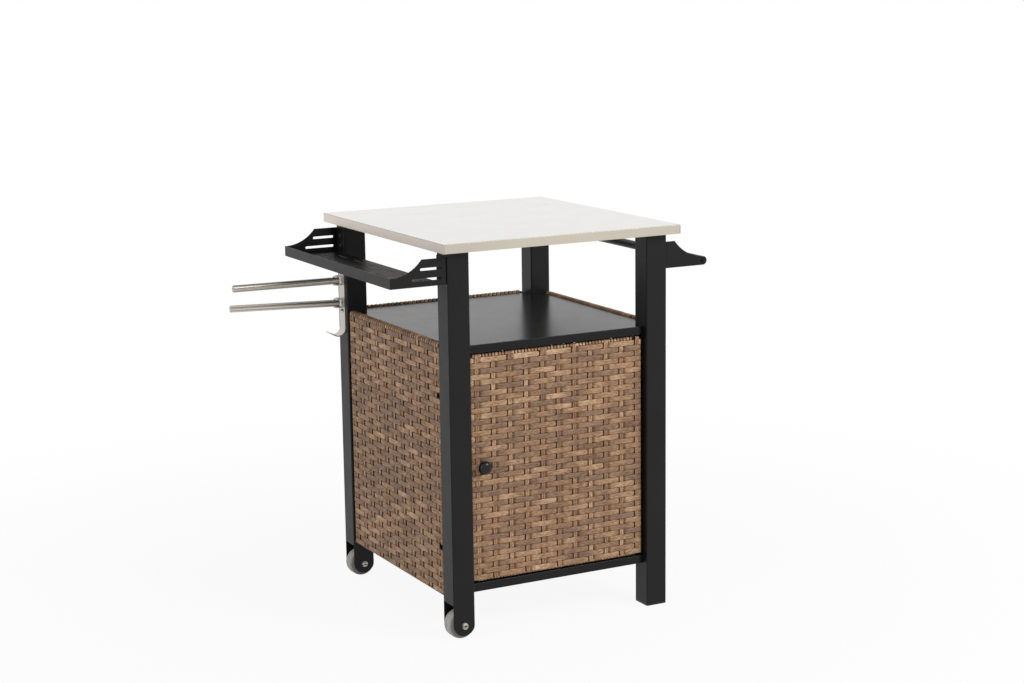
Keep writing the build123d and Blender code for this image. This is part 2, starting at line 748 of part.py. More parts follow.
bar_x = right_face + rail_reach
bar_half = back_face - bracket_setback - bracket_sheet
bar_ends = [Plane((bar_x, side * bar_half, rail_height), z_dir=(0, side, 0)) for side in (-1, 1)]
with BuildPart() as towel_bar:
    with BuildSketch(bar_ends[1]):
        Circle(rail_bar_diameter / 2)
    extrude(amount=-2 * bar_half)
    with BuildSketch(bar_ends[1].offset(-rail_bar_plug)):
        Circle(rail_bar_diameter / 2 - rail_bar_wall)
    extrude(amount=-2 * (bar_half - rail_bar_plug), mode=Mode.SUBTRACT)
    with Locations(*bar_ends):
        Hole(hole_radius, rail_bar_plug)
write(towel_bar, "towel_bar")

# Swivel rack: a strip that ends in a hook, two U brackets and two arms on vertical pins
rack_plane = Plane((left_face, leg_rear_y, 0), x_dir=(-1, 0, 0), z_dir=(0, 1, 0))
with BuildPart() as rack_strip:
    with BuildSketch(rack_plane.offset(strip_width / 2)):
        with BuildLine():
            drop = Line((strip_thickness / 2, strip_top), (strip_thickness / 2, hook_bend_height))
            bend_centre = (strip_thickness / 2 + hook_radius, hook_bend_height)
            bend = CenterArc(bend_centre, hook_radius, 180, hook_turn_angle)
            PolarLine(bend @ 1, hook_tip, direction=bend % 1)
        trace(line_width=strip_thickness)
    extrude(amount=-strip_width)
    drill(rack_seats, hole_radius, strip_thickness, strip_thickness)
write(rack_strip, "rack_strip")

arm_gap = arm_diameter + 2 * arm_bracket_play
arm_heights = (upper_arm_height, lower_arm_height)
pivot_x = left_face - pivot_out
with BuildPart() as arm_brackets:
    for height in arm_heights:
        with BuildSketch(rack_plane.offset(arm_bracket_width / 2)):
            with Locations((strip_thickness, height)):
                Rectangle(
                    arm_bracket_sheet + arm_bracket_ear,
                    arm_gap + 2 * arm_bracket_sheet,
                    align=(Align.MIN, Align.CENTER),
                )
            with Locations((strip_thickness + arm_bracket_sheet, height)):
                Rectangle(arm_bracket_ear, arm_gap, align=(Align.MIN, Align.CENTER), mode=Mode.SUBTRACT)
        extrude(amount=-arm_bracket_width)
    ear_corners = arm_brackets.edges().filter_by(Axis.Z).group_by(Axis.X)[0]
    fillet(ear_corners, arm_bracket_round)
    for height in arm_heights:
        with Locations(Plane((pivot_x, leg_rear_y, height + arm_gap / 2 + arm_bracket_sheet))):
            Hole(arm_pin_diameter / 2 + hole_clearance, arm_gap + 2 * arm_bracket_sheet)
write(arm_brackets, "arm_brackets")

with BuildPart() as arm_pins:
    for height in arm_heights:
        ear_top = height + arm_gap / 2 + arm_bracket_sheet
        with BuildSketch(Plane((pivot_x, leg_rear_y, ear_top))):
            Circle(arm_pin_head / 2)
        extrude(amount=arm_pin_head_height)
        with BuildSketch(Plane((pivot_x, leg_rear_y, ear_top))):
            Circle(arm_pin_diameter / 2)
        extrude(amount=-(arm_gap + 2 * arm_bracket_sheet + arm_pin_head_height))
write(arm_pins, "arm_pins")


def swivel_arm(height, angle):
    """Tube closed at its free end, bored for the vertical pin near its root."""
    along = (-cos(radians(angle)), sin(radians(angle)), 0)
    with BuildPart() as arm:
        axis_plane = Plane((pivot_x, leg_rear_y, height), x_dir=(0, 0, 1), z_dir=along)
        with BuildSketch(axis_plane.offset(-arm_root)):
            Circle(arm_diameter / 2)
        extrude(amount=arm_length + arm_root)
        fillet(arm.faces().sort_by_distance(axis_plane.offset(arm_length).origin)[0].edges(), arm_end_round)
        with BuildSketch(axis_plane.offset(-arm_root)):
            Circle(arm_diameter / 2 - arm_wall)
        extrude(amount=arm_length + arm_root - 2 * arm_end_round, mode=Mode.SUBTRACT)
        with Locations(Plane((pivot_x, leg_rear_y, height + arm_diameter / 2))):
            Hole(arm_pin_diameter / 2 + running_clearance, arm_diameter)
    return arm


write(swivel_arm(upper_arm_height, upper_arm_angle), "swivel_arm_upper")
write(swivel_arm(lower_arm_height, lower_arm_angle), "swivel_arm_lower")

# Wheels: a rubber tyre on a plastic hub, turning on a bolt through the fork plates
tyre_inner = wheel_diameter / 2 - tyre_thickness
hub_length = leg_inside - 2 * hub_side_play
for end, leg_y in (("front", leg_front_y), ("rear", leg_rear_y)):
    wheel_plane = Plane((leg_left_x, leg_y, axle_height), x_dir=(0, 1, 0), z_dir=(1, 0, 0))
    axle_axis = Axis((leg_left_x, leg_y, axle_height), (0, 1, 0))
    with BuildPart() as tyre:
        with BuildSketch(wheel_plane) as tread:
            with Locations((0, tyre_inner)):
                Rectangle(tyre_width, tyre_thickness, align=(Align.CENTER, Align.MIN))
            fillet(tread.vertices().group_by(Axis.Y)[-1], tyre_round)
        revolve(axis=axle_axis)
    write(tyre, f"tyre_{end}")
    with BuildPart() as hub:
        with BuildSketch(wheel_plane):
            bore = axle_diameter / 2 + running_clearance
            rim_outer = tyre_inner - tyre_fit
            with Locations((0, bore)):
                Rectangle(hub_length, hub_boss / 2 - bore, align=(Align.CENTER, Align.MIN))
                Rectangle(hub_web, rim_outer - bore, align=(Align.CENTER, Align.MIN))
            with Locations((0, rim_outer)):
                Rectangle(hub_rim_width, hub_rim, align=(Align.CENTER, Align.MAX))
        revolve(axis=axle_axis)
    write(hub, f"hub_{end}")

axle_seats = []
for leg_y in (leg_front_y, leg_rear_y):
    axle_seats.append(Plane((leg_left_x, leg_y - leg_size / 2, axle_height), z_dir=(0, -1, 0)))
with BuildPart() as axle_bolts:
    for seat in axle_seats:
        with BuildSketch(seat):
            Circle(axle_head / 2)
        extrude(amount=axle_head_height, taper=axle_head_taper_angle)
        with BuildSketch(seat):
            Circle(axle_diameter / 2)
        extrude(amount=-(leg_size + axle_nut_height + axle_end))
        with BuildSketch(seat.offset(axle_head_height)):
            RegularPolygon(axle_socket / 2, 6, major_radius=False)
        extrude(amount=-axle_head_height / 2, mode=Mode.SUBTRACT)
write(axle_bolts, "axle_bolts")

with BuildPart() as axle_nuts:
    for seat in axle_seats:
        with BuildSketch(seat.offset(-leg_size)):
            RegularPolygon(axle_nut_across / 2, 6, major_radius=False)
            Circle(axle_diameter / 2 + hole_clearance, mode=Mode.SUBTRACT)
        extrude(amount=-axle_nut_height)
write(axle_nuts, "axle_nuts")


# Screws and bolts that hold the pieces on the legs
def screws(seats, grip, depth, head=screw_head, socketed=False):
    """One group of screws: each head sits at its grip above the seat, its shank goes depth below it."""
    with BuildPart() as group:
        for seat in seats:
            with BuildSketch(seat.offset(grip)):
                Circle(head / 2)
            extrude(amount=screw_head_height, taper=screw_head_taper_angle)
            with BuildSketch(seat.offset(grip)):
                Circle(screw_diameter / 2)
            extrude(amount=-(grip + depth))
            if socketed:
                with BuildSketch(seat.offset(grip + screw_head_height)):
                    RegularPolygon(screw_socket / 2, 6, major_radius=False)
                extrude(amount=-screw_head_height / 2, mode=Mode.SUBTRACT)
    return group


leg_depth = leg_wall + screw_reach
shelf_grip = shelf_clearance + shelf_sheet
write(screws(mid_seats, shelf_grip, leg_depth), "mid_shelf_screws")
write(screws(bottom_seats, shelf_grip, leg_depth), "bottom_shelf_screws")
write(screws(bolt_seats, bolt_grip, leg_depth, head=panel_bolt_head), "panel_bolts")
write(screws(tray_seats, bracket_sheet, leg_depth, socketed=True), "tray_screws")
write(screws(rail_seats, bracket_sheet, leg_depth, socketed=True), "rail_screws")
write(screws(rack_seats, strip_thickness, leg_depth, socketed=True), "rack_screws")
write(screws(bar_ends, bracket_sheet, rail_bar_plug, socketed=True), "bar_screws")
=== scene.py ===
# %% [markdown]
# # An outdoor kitchen cart
#
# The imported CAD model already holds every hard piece: legs, shelves, brackets, wheels, screws and the
# joints between them. This lesson loads it as a fixed frame, sets up the camera and the studio, gives
# each metal, coat and plastic its finish, and weaves the wicker that the CAD only holds as plain skins.

# %% Load the frame
import json
from math import cos, pi, radians, sin

import bpy
from mathutils import Matrix, Vector


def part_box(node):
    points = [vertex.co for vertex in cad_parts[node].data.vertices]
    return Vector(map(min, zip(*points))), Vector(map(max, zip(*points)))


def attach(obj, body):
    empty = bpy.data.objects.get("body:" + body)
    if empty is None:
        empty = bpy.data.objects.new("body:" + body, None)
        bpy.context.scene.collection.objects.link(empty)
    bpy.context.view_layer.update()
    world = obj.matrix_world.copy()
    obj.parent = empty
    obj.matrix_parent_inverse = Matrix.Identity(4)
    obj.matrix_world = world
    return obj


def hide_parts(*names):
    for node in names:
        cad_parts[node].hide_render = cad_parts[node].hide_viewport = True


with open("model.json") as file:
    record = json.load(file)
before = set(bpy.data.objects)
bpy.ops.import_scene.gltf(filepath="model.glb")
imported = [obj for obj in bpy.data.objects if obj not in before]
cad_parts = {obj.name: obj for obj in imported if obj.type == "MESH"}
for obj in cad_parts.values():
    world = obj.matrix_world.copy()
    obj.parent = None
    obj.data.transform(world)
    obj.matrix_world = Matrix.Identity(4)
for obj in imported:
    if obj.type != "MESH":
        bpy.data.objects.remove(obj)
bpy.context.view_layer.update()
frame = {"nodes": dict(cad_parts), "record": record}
scene = bpy.context.scene

# %% [markdown]
# ## The camera
#
# The view has to fall on the same edges as the photograph, so the camera comes from a fit of the cart's
# straight edges: where it stands, where it points, a small roll and the focal length. It could be turned
# by three angles, but a matrix made of the three camera axes sets them all at once and is easier to read.

# %% Camera
camera_place = Vector((-1.982, -3.951, 1.421))
heading = radians(-27.918)
tilt = radians(10.769)
roll = radians(-0.767)
sensor_width = 36.0
focal_length = 71.05
forward = Vector((-sin(heading) * cos(tilt), cos(heading) * cos(tilt), -sin(tilt)))
level = forward.cross(Vector((0, 0, 1))).normalized()
upright = level.cross(forward)
camera_right = level * cos(roll) + upright * sin(roll)
camera_up = upright * cos(roll) - level * sin(roll)

camera_data = bpy.data.cameras.new("photo_camera")
camera_data.sensor_width = sensor_width
camera_data.lens = focal_length
camera = bpy.data.objects.new("photo_camera", camera_data)
scene.collection.objects.link(camera)
camera_axes = Matrix((camera_right, camera_up, -forward)).transposed().to_4x4()
camera.matrix_world = Matrix.Translation(camera_place) @ camera_axes
scene.camera = camera
scene.view_settings.view_transform = "Standard"
print("camera stands", round(camera_place.length, 2), "m from the origin")


# %% [markdown]
# ## Small helpers for node trees
#
# Materials, groups and geometry trees are all made of nodes. One helper makes a node, sets its options
# and fills its inputs with either a value or a link. A few more wrap the nodes that come back all the
# time, so that the cells below read like a recipe.

# %% Node helpers
def fill_inputs(tree, node, inputs):
    """Give each named input a value or a link."""
    for name, value in inputs.items():
        if isinstance(value, bpy.types.NodeSocket):
            tree.links.new(value, node.inputs[name])
        else:
            node.inputs[name].default_value = value


def add_node(tree, kind, inputs=None, **options):
    """Make a node, set its options and fill its inputs."""
    made = tree.nodes.new(kind)
    for name, value in options.items():
        setattr(made, name, value)
    fill_inputs(tree, made, inputs or {})
    return made


def calculate(tree, operation, *values, **options):
    """The result of a Math node."""
    inputs = dict(enumerate(values))
    return add_node(tree, "ShaderNodeMath", inputs, operation=operation, **options).outputs[0]


def spread(tree, value, start, stop, low, high, **options):
    """A value that goes from low to high while another one goes from start to stop."""
    inputs = {"Value": value, "From Min": start, "From Max": stop, "To Min": low, "To Max": high}
    return add_node(tree, "ShaderNodeMapRange", inputs, **options).outputs["Result"]


def mix_colours(tree, share, first, second):
    """The first colour where the share is 0, and the second where it is 1."""
    inputs = {0: share, 6: first, 7: second}
    return add_node(tree, "ShaderNodeMix", inputs, data_type="RGBA").outputs[2]


def mix_values(tree, share, first, second):
    """The same for two numbers."""
    inputs = {0: share, 2: first, 3: second}
    return add_node(tree, "ShaderNodeMix", inputs, data_type="FLOAT").outputs[0]


def vector_math(tree, operation, inputs):
    """The vector or colour that a Vector Math node puts out."""
    return add_node(tree, "ShaderNodeVectorMath", inputs, operation=operation).outputs[0]


def axis_values(tree, vector):
    """A vector's X, Y and Z as numbers."""
    return add_node(tree, "ShaderNodeSeparateXYZ", {0: vector}).outputs


print("node helpers ready")


# %% Group and material helpers
def shader_group(name, inputs, output, output_kind):
    """Start a shader node group with named sockets, and hand back its tree and its inputs."""
    tree = bpy.data.node_groups.new(name, "ShaderNodeTree")
    for label, value in inputs.items():
        kind = "NodeSocketFloat" if isinstance(value, float) else "NodeSocketVector"
        tree.interface.new_socket(label, in_out="INPUT", socket_type=kind).default_value = value
    tree.interface.new_socket(output, in_out="OUTPUT", socket_type=output_kind)
    return tree, tree.nodes.new("NodeGroupInput").outputs


def use_group(tree, group, inputs):
    """Place a shader group in a material, and hand back its one output."""
    made = tree.nodes.new("ShaderNodeGroup")
    made.node_tree = group
    fill_inputs(tree, made, inputs)
    return made.outputs[0]


def empty_tree(owner):
    """The node tree of a material or a world, with nothing in it yet."""
    owner.use_nodes = True
    owner.node_tree.nodes.clear()
    return owner.node_tree


def new_material(name, **principled):
    """A material with one Principled shader, and its Object coordinates."""
    made = bpy.data.materials.new(name)
    tree = empty_tree(made)
    shader = add_node(tree, "ShaderNodeBsdfPrincipled", principled)
    add_node(tree, "ShaderNodeOutputMaterial", {"Surface": shader.outputs["BSDF"]})
    place = add_node(tree, "ShaderNodeTexCoord").outputs["Object"]
    return made, tree, shader, place


print("material helpers ready")


# %% [markdown]
# ## The studio
#
# A product photograph of this kind stands on seamless white. The floor is a wide pale sheet that takes
# the cart's soft shadow near it and runs out to plain white further off. The world shows white to the
# camera and in reflections, while it lights the cart at a lower, even level. A bent backdrop could do the
# same, but would show its curve from other sides.

# %% Floor
floor_half = 60.0
floor_drop = 0.0006
floor_mesh = bpy.data.meshes.new("floor")
corner_signs = ((-1, -1), (1, -1), (1, 1), (-1, 1))
corners = [(x * floor_half, y * floor_half, -floor_drop) for x, y in corner_signs]
floor_mesh.from_pydata(corners, [], [(0, 1, 2, 3)])
floor = bpy.data.objects.new("floor", floor_mesh)
scene.collection.objects.link(floor)
print("floor", 2 * floor_half, "m wide")


# %% Floor paper
def seen_directly(tree):
    """1 for rays from the camera, a mirror or glass, and 0 for the rays that light the cart."""
    path = add_node(tree, "ShaderNodeLightPath").outputs
    mirrored = calculate(tree, "MAXIMUM", path["Is Glossy Ray"], path["Is Transmission Ray"])
    return calculate(tree, "MAXIMUM", path["Is Camera Ray"], mirrored)


paper_grey = (0.86, 0.86, 0.86, 1)
pure_white = (1, 1, 1, 1)
shadow_reach = (0.5, 2.2)
paper_glow_share = (0.92, 1.0)
floor_paper = bpy.data.materials.new("floor_paper")
paper_tree = empty_tree(floor_paper)
paper_place = add_node(paper_tree, "ShaderNodeTexCoord").outputs["Object"]
paper_reach = add_node(paper_tree, "ShaderNodeVectorMath", {0: paper_place}, operation="LENGTH")
paper_white = spread(
    paper_tree, paper_reach.outputs["Value"], *shadow_reach, *paper_glow_share,
    interpolation_type="SMOOTHSTEP",
)
paper_share = calculate(paper_tree, "MULTIPLY", paper_white, seen_directly(paper_tree))
paper_shade = add_node(paper_tree, "ShaderNodeBsdfDiffuse", {"Color": paper_grey})
paper_glow = add_node(paper_tree, "ShaderNodeEmission", {"Color": pure_white, "Strength": 1.0})
paper_mix = add_node(
    paper_tree, "ShaderNodeMixShader",
    {0: paper_share, 1: paper_shade.outputs[0], 2: paper_glow.outputs[0]},
)
add_node(paper_tree, "ShaderNodeOutputMaterial", {"Surface": paper_mix.outputs[0]})
floor_mesh.materials.append(floor_paper)
print("floor paper has", len(paper_tree.nodes), "nodes")

# %% World
even_level = 0.42
studio = bpy.data.worlds.new("studio")
scene.world = studio
studio_tree = empty_tree(studio)
even_light = add_node(studio_tree, "ShaderNodeBackground", {"Color": pure_white, "Strength": even_level})
white_wall = add_node(studio_tree, "ShaderNodeBackground", {"Color": pure_white, "Strength": 1.0})
studio_mix = add_node(
    studio_tree, "ShaderNodeMixShader",
    {0: seen_directly(studio_tree), 1: even_light.outputs[0], 2: white_wall.outputs[0]},
)
add_node(studio_tree, "ShaderNodeOutputWorld", {"Surface": studio_mix.outputs[0]})
print("world lights the cart at", even_level)


# %% [markdown]
# ## The lamps
#
# Two broad disks stand for the studio's soft boxes: a key from the front right, because the door is
# brighter than the cart's left side, and a weak fill from the left. Small lamps would throw hard shadows.
# The fill hardly glints, so that it lifts the shadows without drawing bright lines on the black legs.

# %% Lamps
def soft_lamp(name, place, aim, size, power, glint):
    """A round lamp that points at its aim. glint is how much of it shows in shiny surfaces."""
    data = bpy.data.lights.new(name, "AREA")
    data.shape = "DISK"
    data.size = size
    data.energy = power
    data.specular_factor = glint
    lamp = bpy.data.objects.new(name, data)
    scene.collection.objects.link(lamp)
    lamp.location = place
    lamp.rotation_euler = (Vector(aim) - Vector(place)).to_track_quat("-Z", "Y").to_euler()
    print(name, "lamp", power, "W")


soft_lamp("key", place=(1.9, -3.0, 2.7), aim=(0.05, 0, 0.45), size=1.8, power=78, glint=1.0)
soft_lamp("fill", place=(-3.2, -1.2, 1.9), aim=(0.0, 0, 0.5), size=2.2, power=20, glint=0.1)

# %% [markdown]
# ## Shared surface effects
#
# Three effects come back in several finishes, so each is one node group. "streaks" is noise drawn out
# along one direction: brushing marks in steel, painted reflection bands along the swivel arms, and the
# fine lines along a cane strand. "mottle" is a soft patchy value for colour and roughness. "grit" is a
# fine bump for powder coat, rubber and plastic.

# %% Streaks
streaks, streak_in = shader_group(
    "streaks", {"Vector": (0, 0, 0), "Stretch": (1, 1, 1), "Detail": 3.0}, "Mask", "NodeSocketFloat"
)
streak_place = vector_math(streaks, "MULTIPLY", {0: streak_in["Vector"], 1: streak_in["Stretch"]})
streak_noise = add_node(
    streaks, "ShaderNodeTexNoise", {"Vector": streak_place, "Scale": 1.0, "Detail": streak_in["Detail"]}
)
add_node(streaks, "NodeGroupOutput", {"Mask": streak_noise.outputs[0]})
print(streaks.name, "has", len(streaks.nodes), "nodes")

# %% Mottle
noise_middle = (0.3, 0.7)
mottle, mottle_in = shader_group(
    "mottle", {"Vector": (0, 0, 0), "Scale": 20.0, "Low": 0.3, "High": 0.5}, "Value", "NodeSocketFloat"
)
mottle_noise = add_node(
    mottle, "ShaderNodeTexNoise",
    {"Vector": mottle_in["Vector"], "Scale": mottle_in["Scale"], "Detail": 4.0},
).outputs[0]
mottle_value = spread(mottle, mottle_noise, *noise_middle, mottle_in["Low"], mottle_in["High"])
add_node(mottle, "NodeGroupOutput", {"Value": mottle_value})


def patches(tree, place, scale, low, high):
    """A value that wanders between low and high from patch to patch."""
    return use_group(tree, mottle, {"Vector": place, "Scale": scale, "Low": low, "High": high})


print(mottle.name, "has", len(mottle.nodes), "nodes")

# %% Grit
grit, grit_in = shader_group(
    "grit", {"Vector": (0, 0, 0), "Scale": 900.0, "Strength": 0.2, "Distance": 0.0002},
    "Normal", "NodeSocketVector",
)
grit_noise = add_node(
    grit, "ShaderNodeTexNoise", {"Vector": grit_in["Vector"], "Scale": grit_in["Scale"], "Detail": 2.0}
)
grit_bump = add_node(
    grit, "ShaderNodeBump",
    {"Height": grit_noise.outputs[0], "Strength": grit_in["Strength"], "Distance": grit_in["Distance"]},
)
add_node(grit, "NodeGroupOutput", {"Normal": grit_bump.outputs[0]})
print(grit.name, "has", len(grit.nodes), "nodes")


# %% [markdown]
# ## Bare steel
#
# The CAD nodes keep their shapes and only change their clothes. The top is bright sheet with faint
# brushing along its length. The swivel arms are drawn tube, which shows soft reflection bands along it, so
# they are only partly metallic and carry the bands as painted reflection in their colour: dark and light
# streaks along the tube. Strip and screws have finer marks. Each steel could have a tree of its own, but
# only the marks' direction, the two colours and the roughness differ, so one function makes them all.

# %% Steel finishes
def tint(tree, mask, dark, light, low=noise_middle[0], high=noise_middle[1]):
    """A colour between two others, chosen by a mask."""
    return mix_colours(tree, spread(tree, mask, low, high, 0.0, 1.0), (*dark, 1), (*light, 1))


steel_patch_scale = 14.0
brush_strength = 0.06
brush_depth = 0.0002


def steel(name, stretch, dark, light, rough, detail=4.0, metallic=1.0):
    """Bare steel: streaks shift its colour and its skin a little, and its roughness wanders. The streaks
    are brushing marks, but painted reflection bands on the arms.
    """
    made, tree, shader, place = new_material(name, Metallic=metallic)
    brushed = use_group(tree, streaks, {"Vector": place, "Stretch": stretch, "Detail": detail})
    marks = {"Height": brushed, "Strength": brush_strength, "Distance": brush_depth}
    finish_inputs = {
        "Base Color": tint(tree, brushed, dark, light),
        "Roughness": patches(tree, place, steel_patch_scale, *rough),
        "Normal": add_node(tree, "ShaderNodeBump", marks).outputs[0],
    }
    fill_inputs(tree, shader, finish_inputs)
    return made, tree, shader, place


def fed_by(shader, name):
    """The socket that feeds an input of a shader."""
    return shader.inputs[name].links[0].from_socket


# The arms' dark and light streaks along the tube are painted reflection bands.
polished_steel = steel(
    "polished_steel", stretch=(2, 2, 420), dark=(0.12, 0.106, 0.092), light=(0.78, 0.725, 0.655),
    rough=(0.34, 0.4), detail=0.0, metallic=0.6,
)[0]
strip_steel = steel(
    "strip_steel", stretch=(300, 300, 3), dark=(0.42, 0.39, 0.355), light=(0.60, 0.56, 0.515),
    rough=(0.26, 0.34),
)[0]
zinc_steel = steel(
    "zinc_steel", stretch=(220, 220, 220), dark=(0.80, 0.795, 0.78), light=(0.92, 0.915, 0.90),
    rough=(0.2, 0.3),
)[0]
stainless_top, top_tree, top_shader, top_place = steel(
    "stainless_top", stretch=(14, 900, 900), dark=(0.68, 0.665, 0.63), light=(0.728, 0.713, 0.676),
    rough=(0.14, 0.2),
)
print("steel finishes ready")

# %% [markdown]
# ## The top's lip
#
# Where the sheet is folded down, the lip is duller and warmer than the flat, most of all at the front,
# which is also painted much darker as painted shade. A thin line of painted shade runs along the bend,
# where it dims the lamp's glint. A second material on picked faces would also do, but a CAD node keeps its
# mesh, so masks made from the height and the depth of each point choose the colours.

# %% Lip of the top
top_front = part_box("tabletop")[0].y
top_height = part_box("tabletop")[1].z
lip_shoulder = 0.0012
flat_margin = 0.00002
front_band = (0.0005, 0.002)
lip_patch_scale = 5.0
lip_roughness = 0.46
bend_middle = 0.25
bend_dark = 0.4
top_axes = axis_values(top_tree, top_place)
on_lip = spread(top_tree, top_axes["Z"], top_height - lip_shoulder, top_height - flat_margin, 1.0, 0.0)
# The front of the lip is painted darker than its sides: painted shade.
front_start, front_stop = (top_front + margin for margin in front_band)
on_shaded_front = spread(top_tree, top_axes["Y"], front_start, front_stop, 1.0, 0.0)
lip_tones = patches(top_tree, top_place, lip_patch_scale, 0.0, 1.0)
side_lip = tint(top_tree, lip_tones, (0.67, 0.60, 0.54), (0.73, 0.656, 0.60), 0.0, 1.0)
front_lip_painted_shade = tint(top_tree, lip_tones, (0.48, 0.44, 0.37), (0.525, 0.482, 0.405), 0.0, 1.0)
lip_colour = mix_colours(top_tree, on_shaded_front, side_lip, front_lip_painted_shade)
top_colour = mix_colours(top_tree, on_lip, fed_by(top_shader, "Base Color"), lip_colour)
# A thin band of painted shade along the bend dims the lamp's glint on the rounded edge.
off_lip = calculate(top_tree, "SUBTRACT", 1.0, on_lip)
on_bend = calculate(top_tree, "MULTIPLY", on_lip, off_lip)
bend_shade = spread(top_tree, on_bend, 0.0, bend_middle, 1.0, bend_dark)
lip_rough = mix_values(top_tree, on_lip, fed_by(top_shader, "Roughness"), lip_roughness)
bent_colour = vector_math(top_tree, "SCALE", {0: top_colour, "Scale": bend_shade})
fill_inputs(top_tree, top_shader, {"Base Color": bent_colour, "Roughness": lip_rough})
print("the lip begins", lip_shoulder * 1000, "mm below the flat")


# %% [markdown]
# ## Coats, plastic and rubber
#
# The frame is satin black powder coat, which is never perfectly even: its roughness wanders and its skin
# has a fine grain. The shelves are smoother, so they mirror the legs. The knob and plugs are moulded
# plastic. The tyres are pale rubber with darker shoulders, where less light gets in beside the fork. Each
# could be a tree of its own, but all are a patchy skin over a fine grain, so one function makes them.

# %% Coated finishes
rough_patch_share = 3


def coated(name, dark, light, rough, grain, depth, gloss, patch_scale=9.0):
    """A painted or moulded surface: patchy colour and roughness over a fine grain."""
    made, tree, shader, place = new_material(name)
    shader.inputs["Specular IOR Level"].default_value = gloss
    tones = patches(tree, place, patch_scale, 0.0, 1.0)
    finish_inputs = {
        "Base Color": tint(tree, tones, dark, light, 0.0, 1.0),
        "Roughness": patches(tree, place, rough_patch_share * patch_scale, *rough),
        "Normal": use_group(tree, grit, {"Vector": place, "Scale": grain, "Strength": depth}),
    }
    fill_inputs(tree, shader, finish_inputs)
    return made, tree, shader, place


black_coat = coated(
    "black_coat", dark=(0.0072, 0.0072, 0.0074), light=(0.0096, 0.0095, 0.0094), rough=(0.36, 0.42),
    grain=1100.0, depth=0.05, gloss=0.2,
)[0]
shelf_coat = coated(
    "shelf_coat", dark=(0.0060, 0.0060, 0.0060), light=(0.0080, 0.0080, 0.0079), rough=(0.24, 0.27),
    grain=1100.0, depth=0.02, gloss=0.2,
)[0]
black_plastic = coated(
    "black_plastic", dark=(0.005, 0.005, 0.005), light=(0.008, 0.008, 0.008), rough=(0.16, 0.24),
    grain=700.0, depth=0.05, gloss=0.3,
)[0]
print("coats and plastic ready")

# %% Tyre rubber
shoulder_band = (0.011, 0.016)
shoulder_dark = 0.42
grey_rubber, rubber_tree, rubber_shader, rubber_place = coated(
    "grey_rubber", dark=(0.46, 0.435, 0.395), light=(0.56, 0.535, 0.49), rough=(0.5, 0.66),
    grain=500.0, depth=0.3, gloss=0.3, patch_scale=40.0,
)
tyre_low, tyre_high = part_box("tyre_rear")
tread_line = (tyre_low.y + tyre_high.y) / 2
either_wheel = calculate(rubber_tree, "ABSOLUTE", axis_values(rubber_tree, rubber_place)["Y"])
past_tread = calculate(rubber_tree, "SUBTRACT", either_wheel, tread_line)
off_tread = calculate(rubber_tree, "ABSOLUTE", past_tread)
shoulder_shade = spread(rubber_tree, off_tread, *shoulder_band, 1.0, shoulder_dark)
tread_colour = fed_by(rubber_shader, "Base Color")
rubber_colour = vector_math(rubber_tree, "SCALE", {0: tread_colour, "Scale": shoulder_shade})
fill_inputs(rubber_tree, rubber_shader, {"Base Color": rubber_colour})
print("tread runs at", round(tread_line, 3), "m either side of the middle")

# %% [markdown]
# ## Dressing the nodes
#
# The CAD record names a material slot for every node. Each node could be dressed by hand, but a table from
# slot to finish dresses nearly all of them at once. Four nodes look different from the others in their
# slot, so a second, smaller table comes first. The wicker is left out here, because it is woven below.

# %% Dress the nodes
finishes = {
    "stainless_top": stainless_top,
    "polished_steel": polished_steel,
    "zinc_steel": zinc_steel,
    "black_coat": black_coat,
    "black_plastic": black_plastic,
    "grey_rubber": grey_rubber,
}
own_finish = {
    "rack_strip": strip_steel,
    "arm_brackets": strip_steel,
    "mid_shelf": shelf_coat,
    "bottom_shelf": shelf_coat,
}
dressed = 0
for part in frame["record"]["subparts"]:
    finish = own_finish.get(part["node"], finishes.get(part["material_slot"]))
    node = frame["nodes"][part["node"]]
    if finish is None:
        continue
    if not node.material_slots:
        node.data.materials.append(finish)
    for place in node.material_slots:
        place.material = finish
    dressed += 1
print("finishes on", dressed, "nodes")

# %% [markdown]
# ## Cane
#
# The cane is extruded plastic in mixed browns. Every strand has its own tone, slow changes along it turn
# tan into grey-brown, and fine lines run along it. The weave below carries four numbers for this: "tone",
# one for each strand; "standing", which is 1 on upright pieces so that the lines follow them; "sunk",
# painted shade where a strand dives behind a stake; and "edge", painted shade along the sides of each
# strip. Colours painted on every strand would be far more work, and light alone leaves the narrow gaps too
# pale.

# %% Tones and lines of the cane
cane_gloss = 0.26
line_stretch = (110, 110, 430)
line_stretch_upright = (430, 430, 110)
tone_step = 37.0
drift_scale = 17.0
drift_most = 0.42
cane, cane_tree, cane_shader, cane_place = new_material("cane")
cane_shader.inputs["Specular IOR Level"].default_value = cane_gloss


def woven_value(name):
    """A number that the woven strands carry."""
    return add_node(cane_tree, "ShaderNodeAttribute", attribute_name=name).outputs["Fac"]


tone = woven_value("tone")
lying_lines, standing_lines = (
    use_group(cane_tree, streaks, {"Vector": cane_place, "Stretch": stretch, "Detail": 3.0})
    for stretch in (line_stretch, line_stretch_upright)
)
lines = mix_values(cane_tree, woven_value("standing"), lying_lines, standing_lines)
drift_noise = add_node(
    cane_tree, "ShaderNodeTexNoise",
    {
        "Vector": cane_place, "W": calculate(cane_tree, "MULTIPLY", tone, tone_step),
        "Scale": drift_scale, "Detail": 3.0,
    },
    noise_dimensions="4D",
)
drift = spread(cane_tree, drift_noise.outputs[0], *noise_middle, -drift_most, drift_most)
shade = calculate(cane_tree, "ADD", tone, drift, use_clamp=True)
print("cane tones ready")

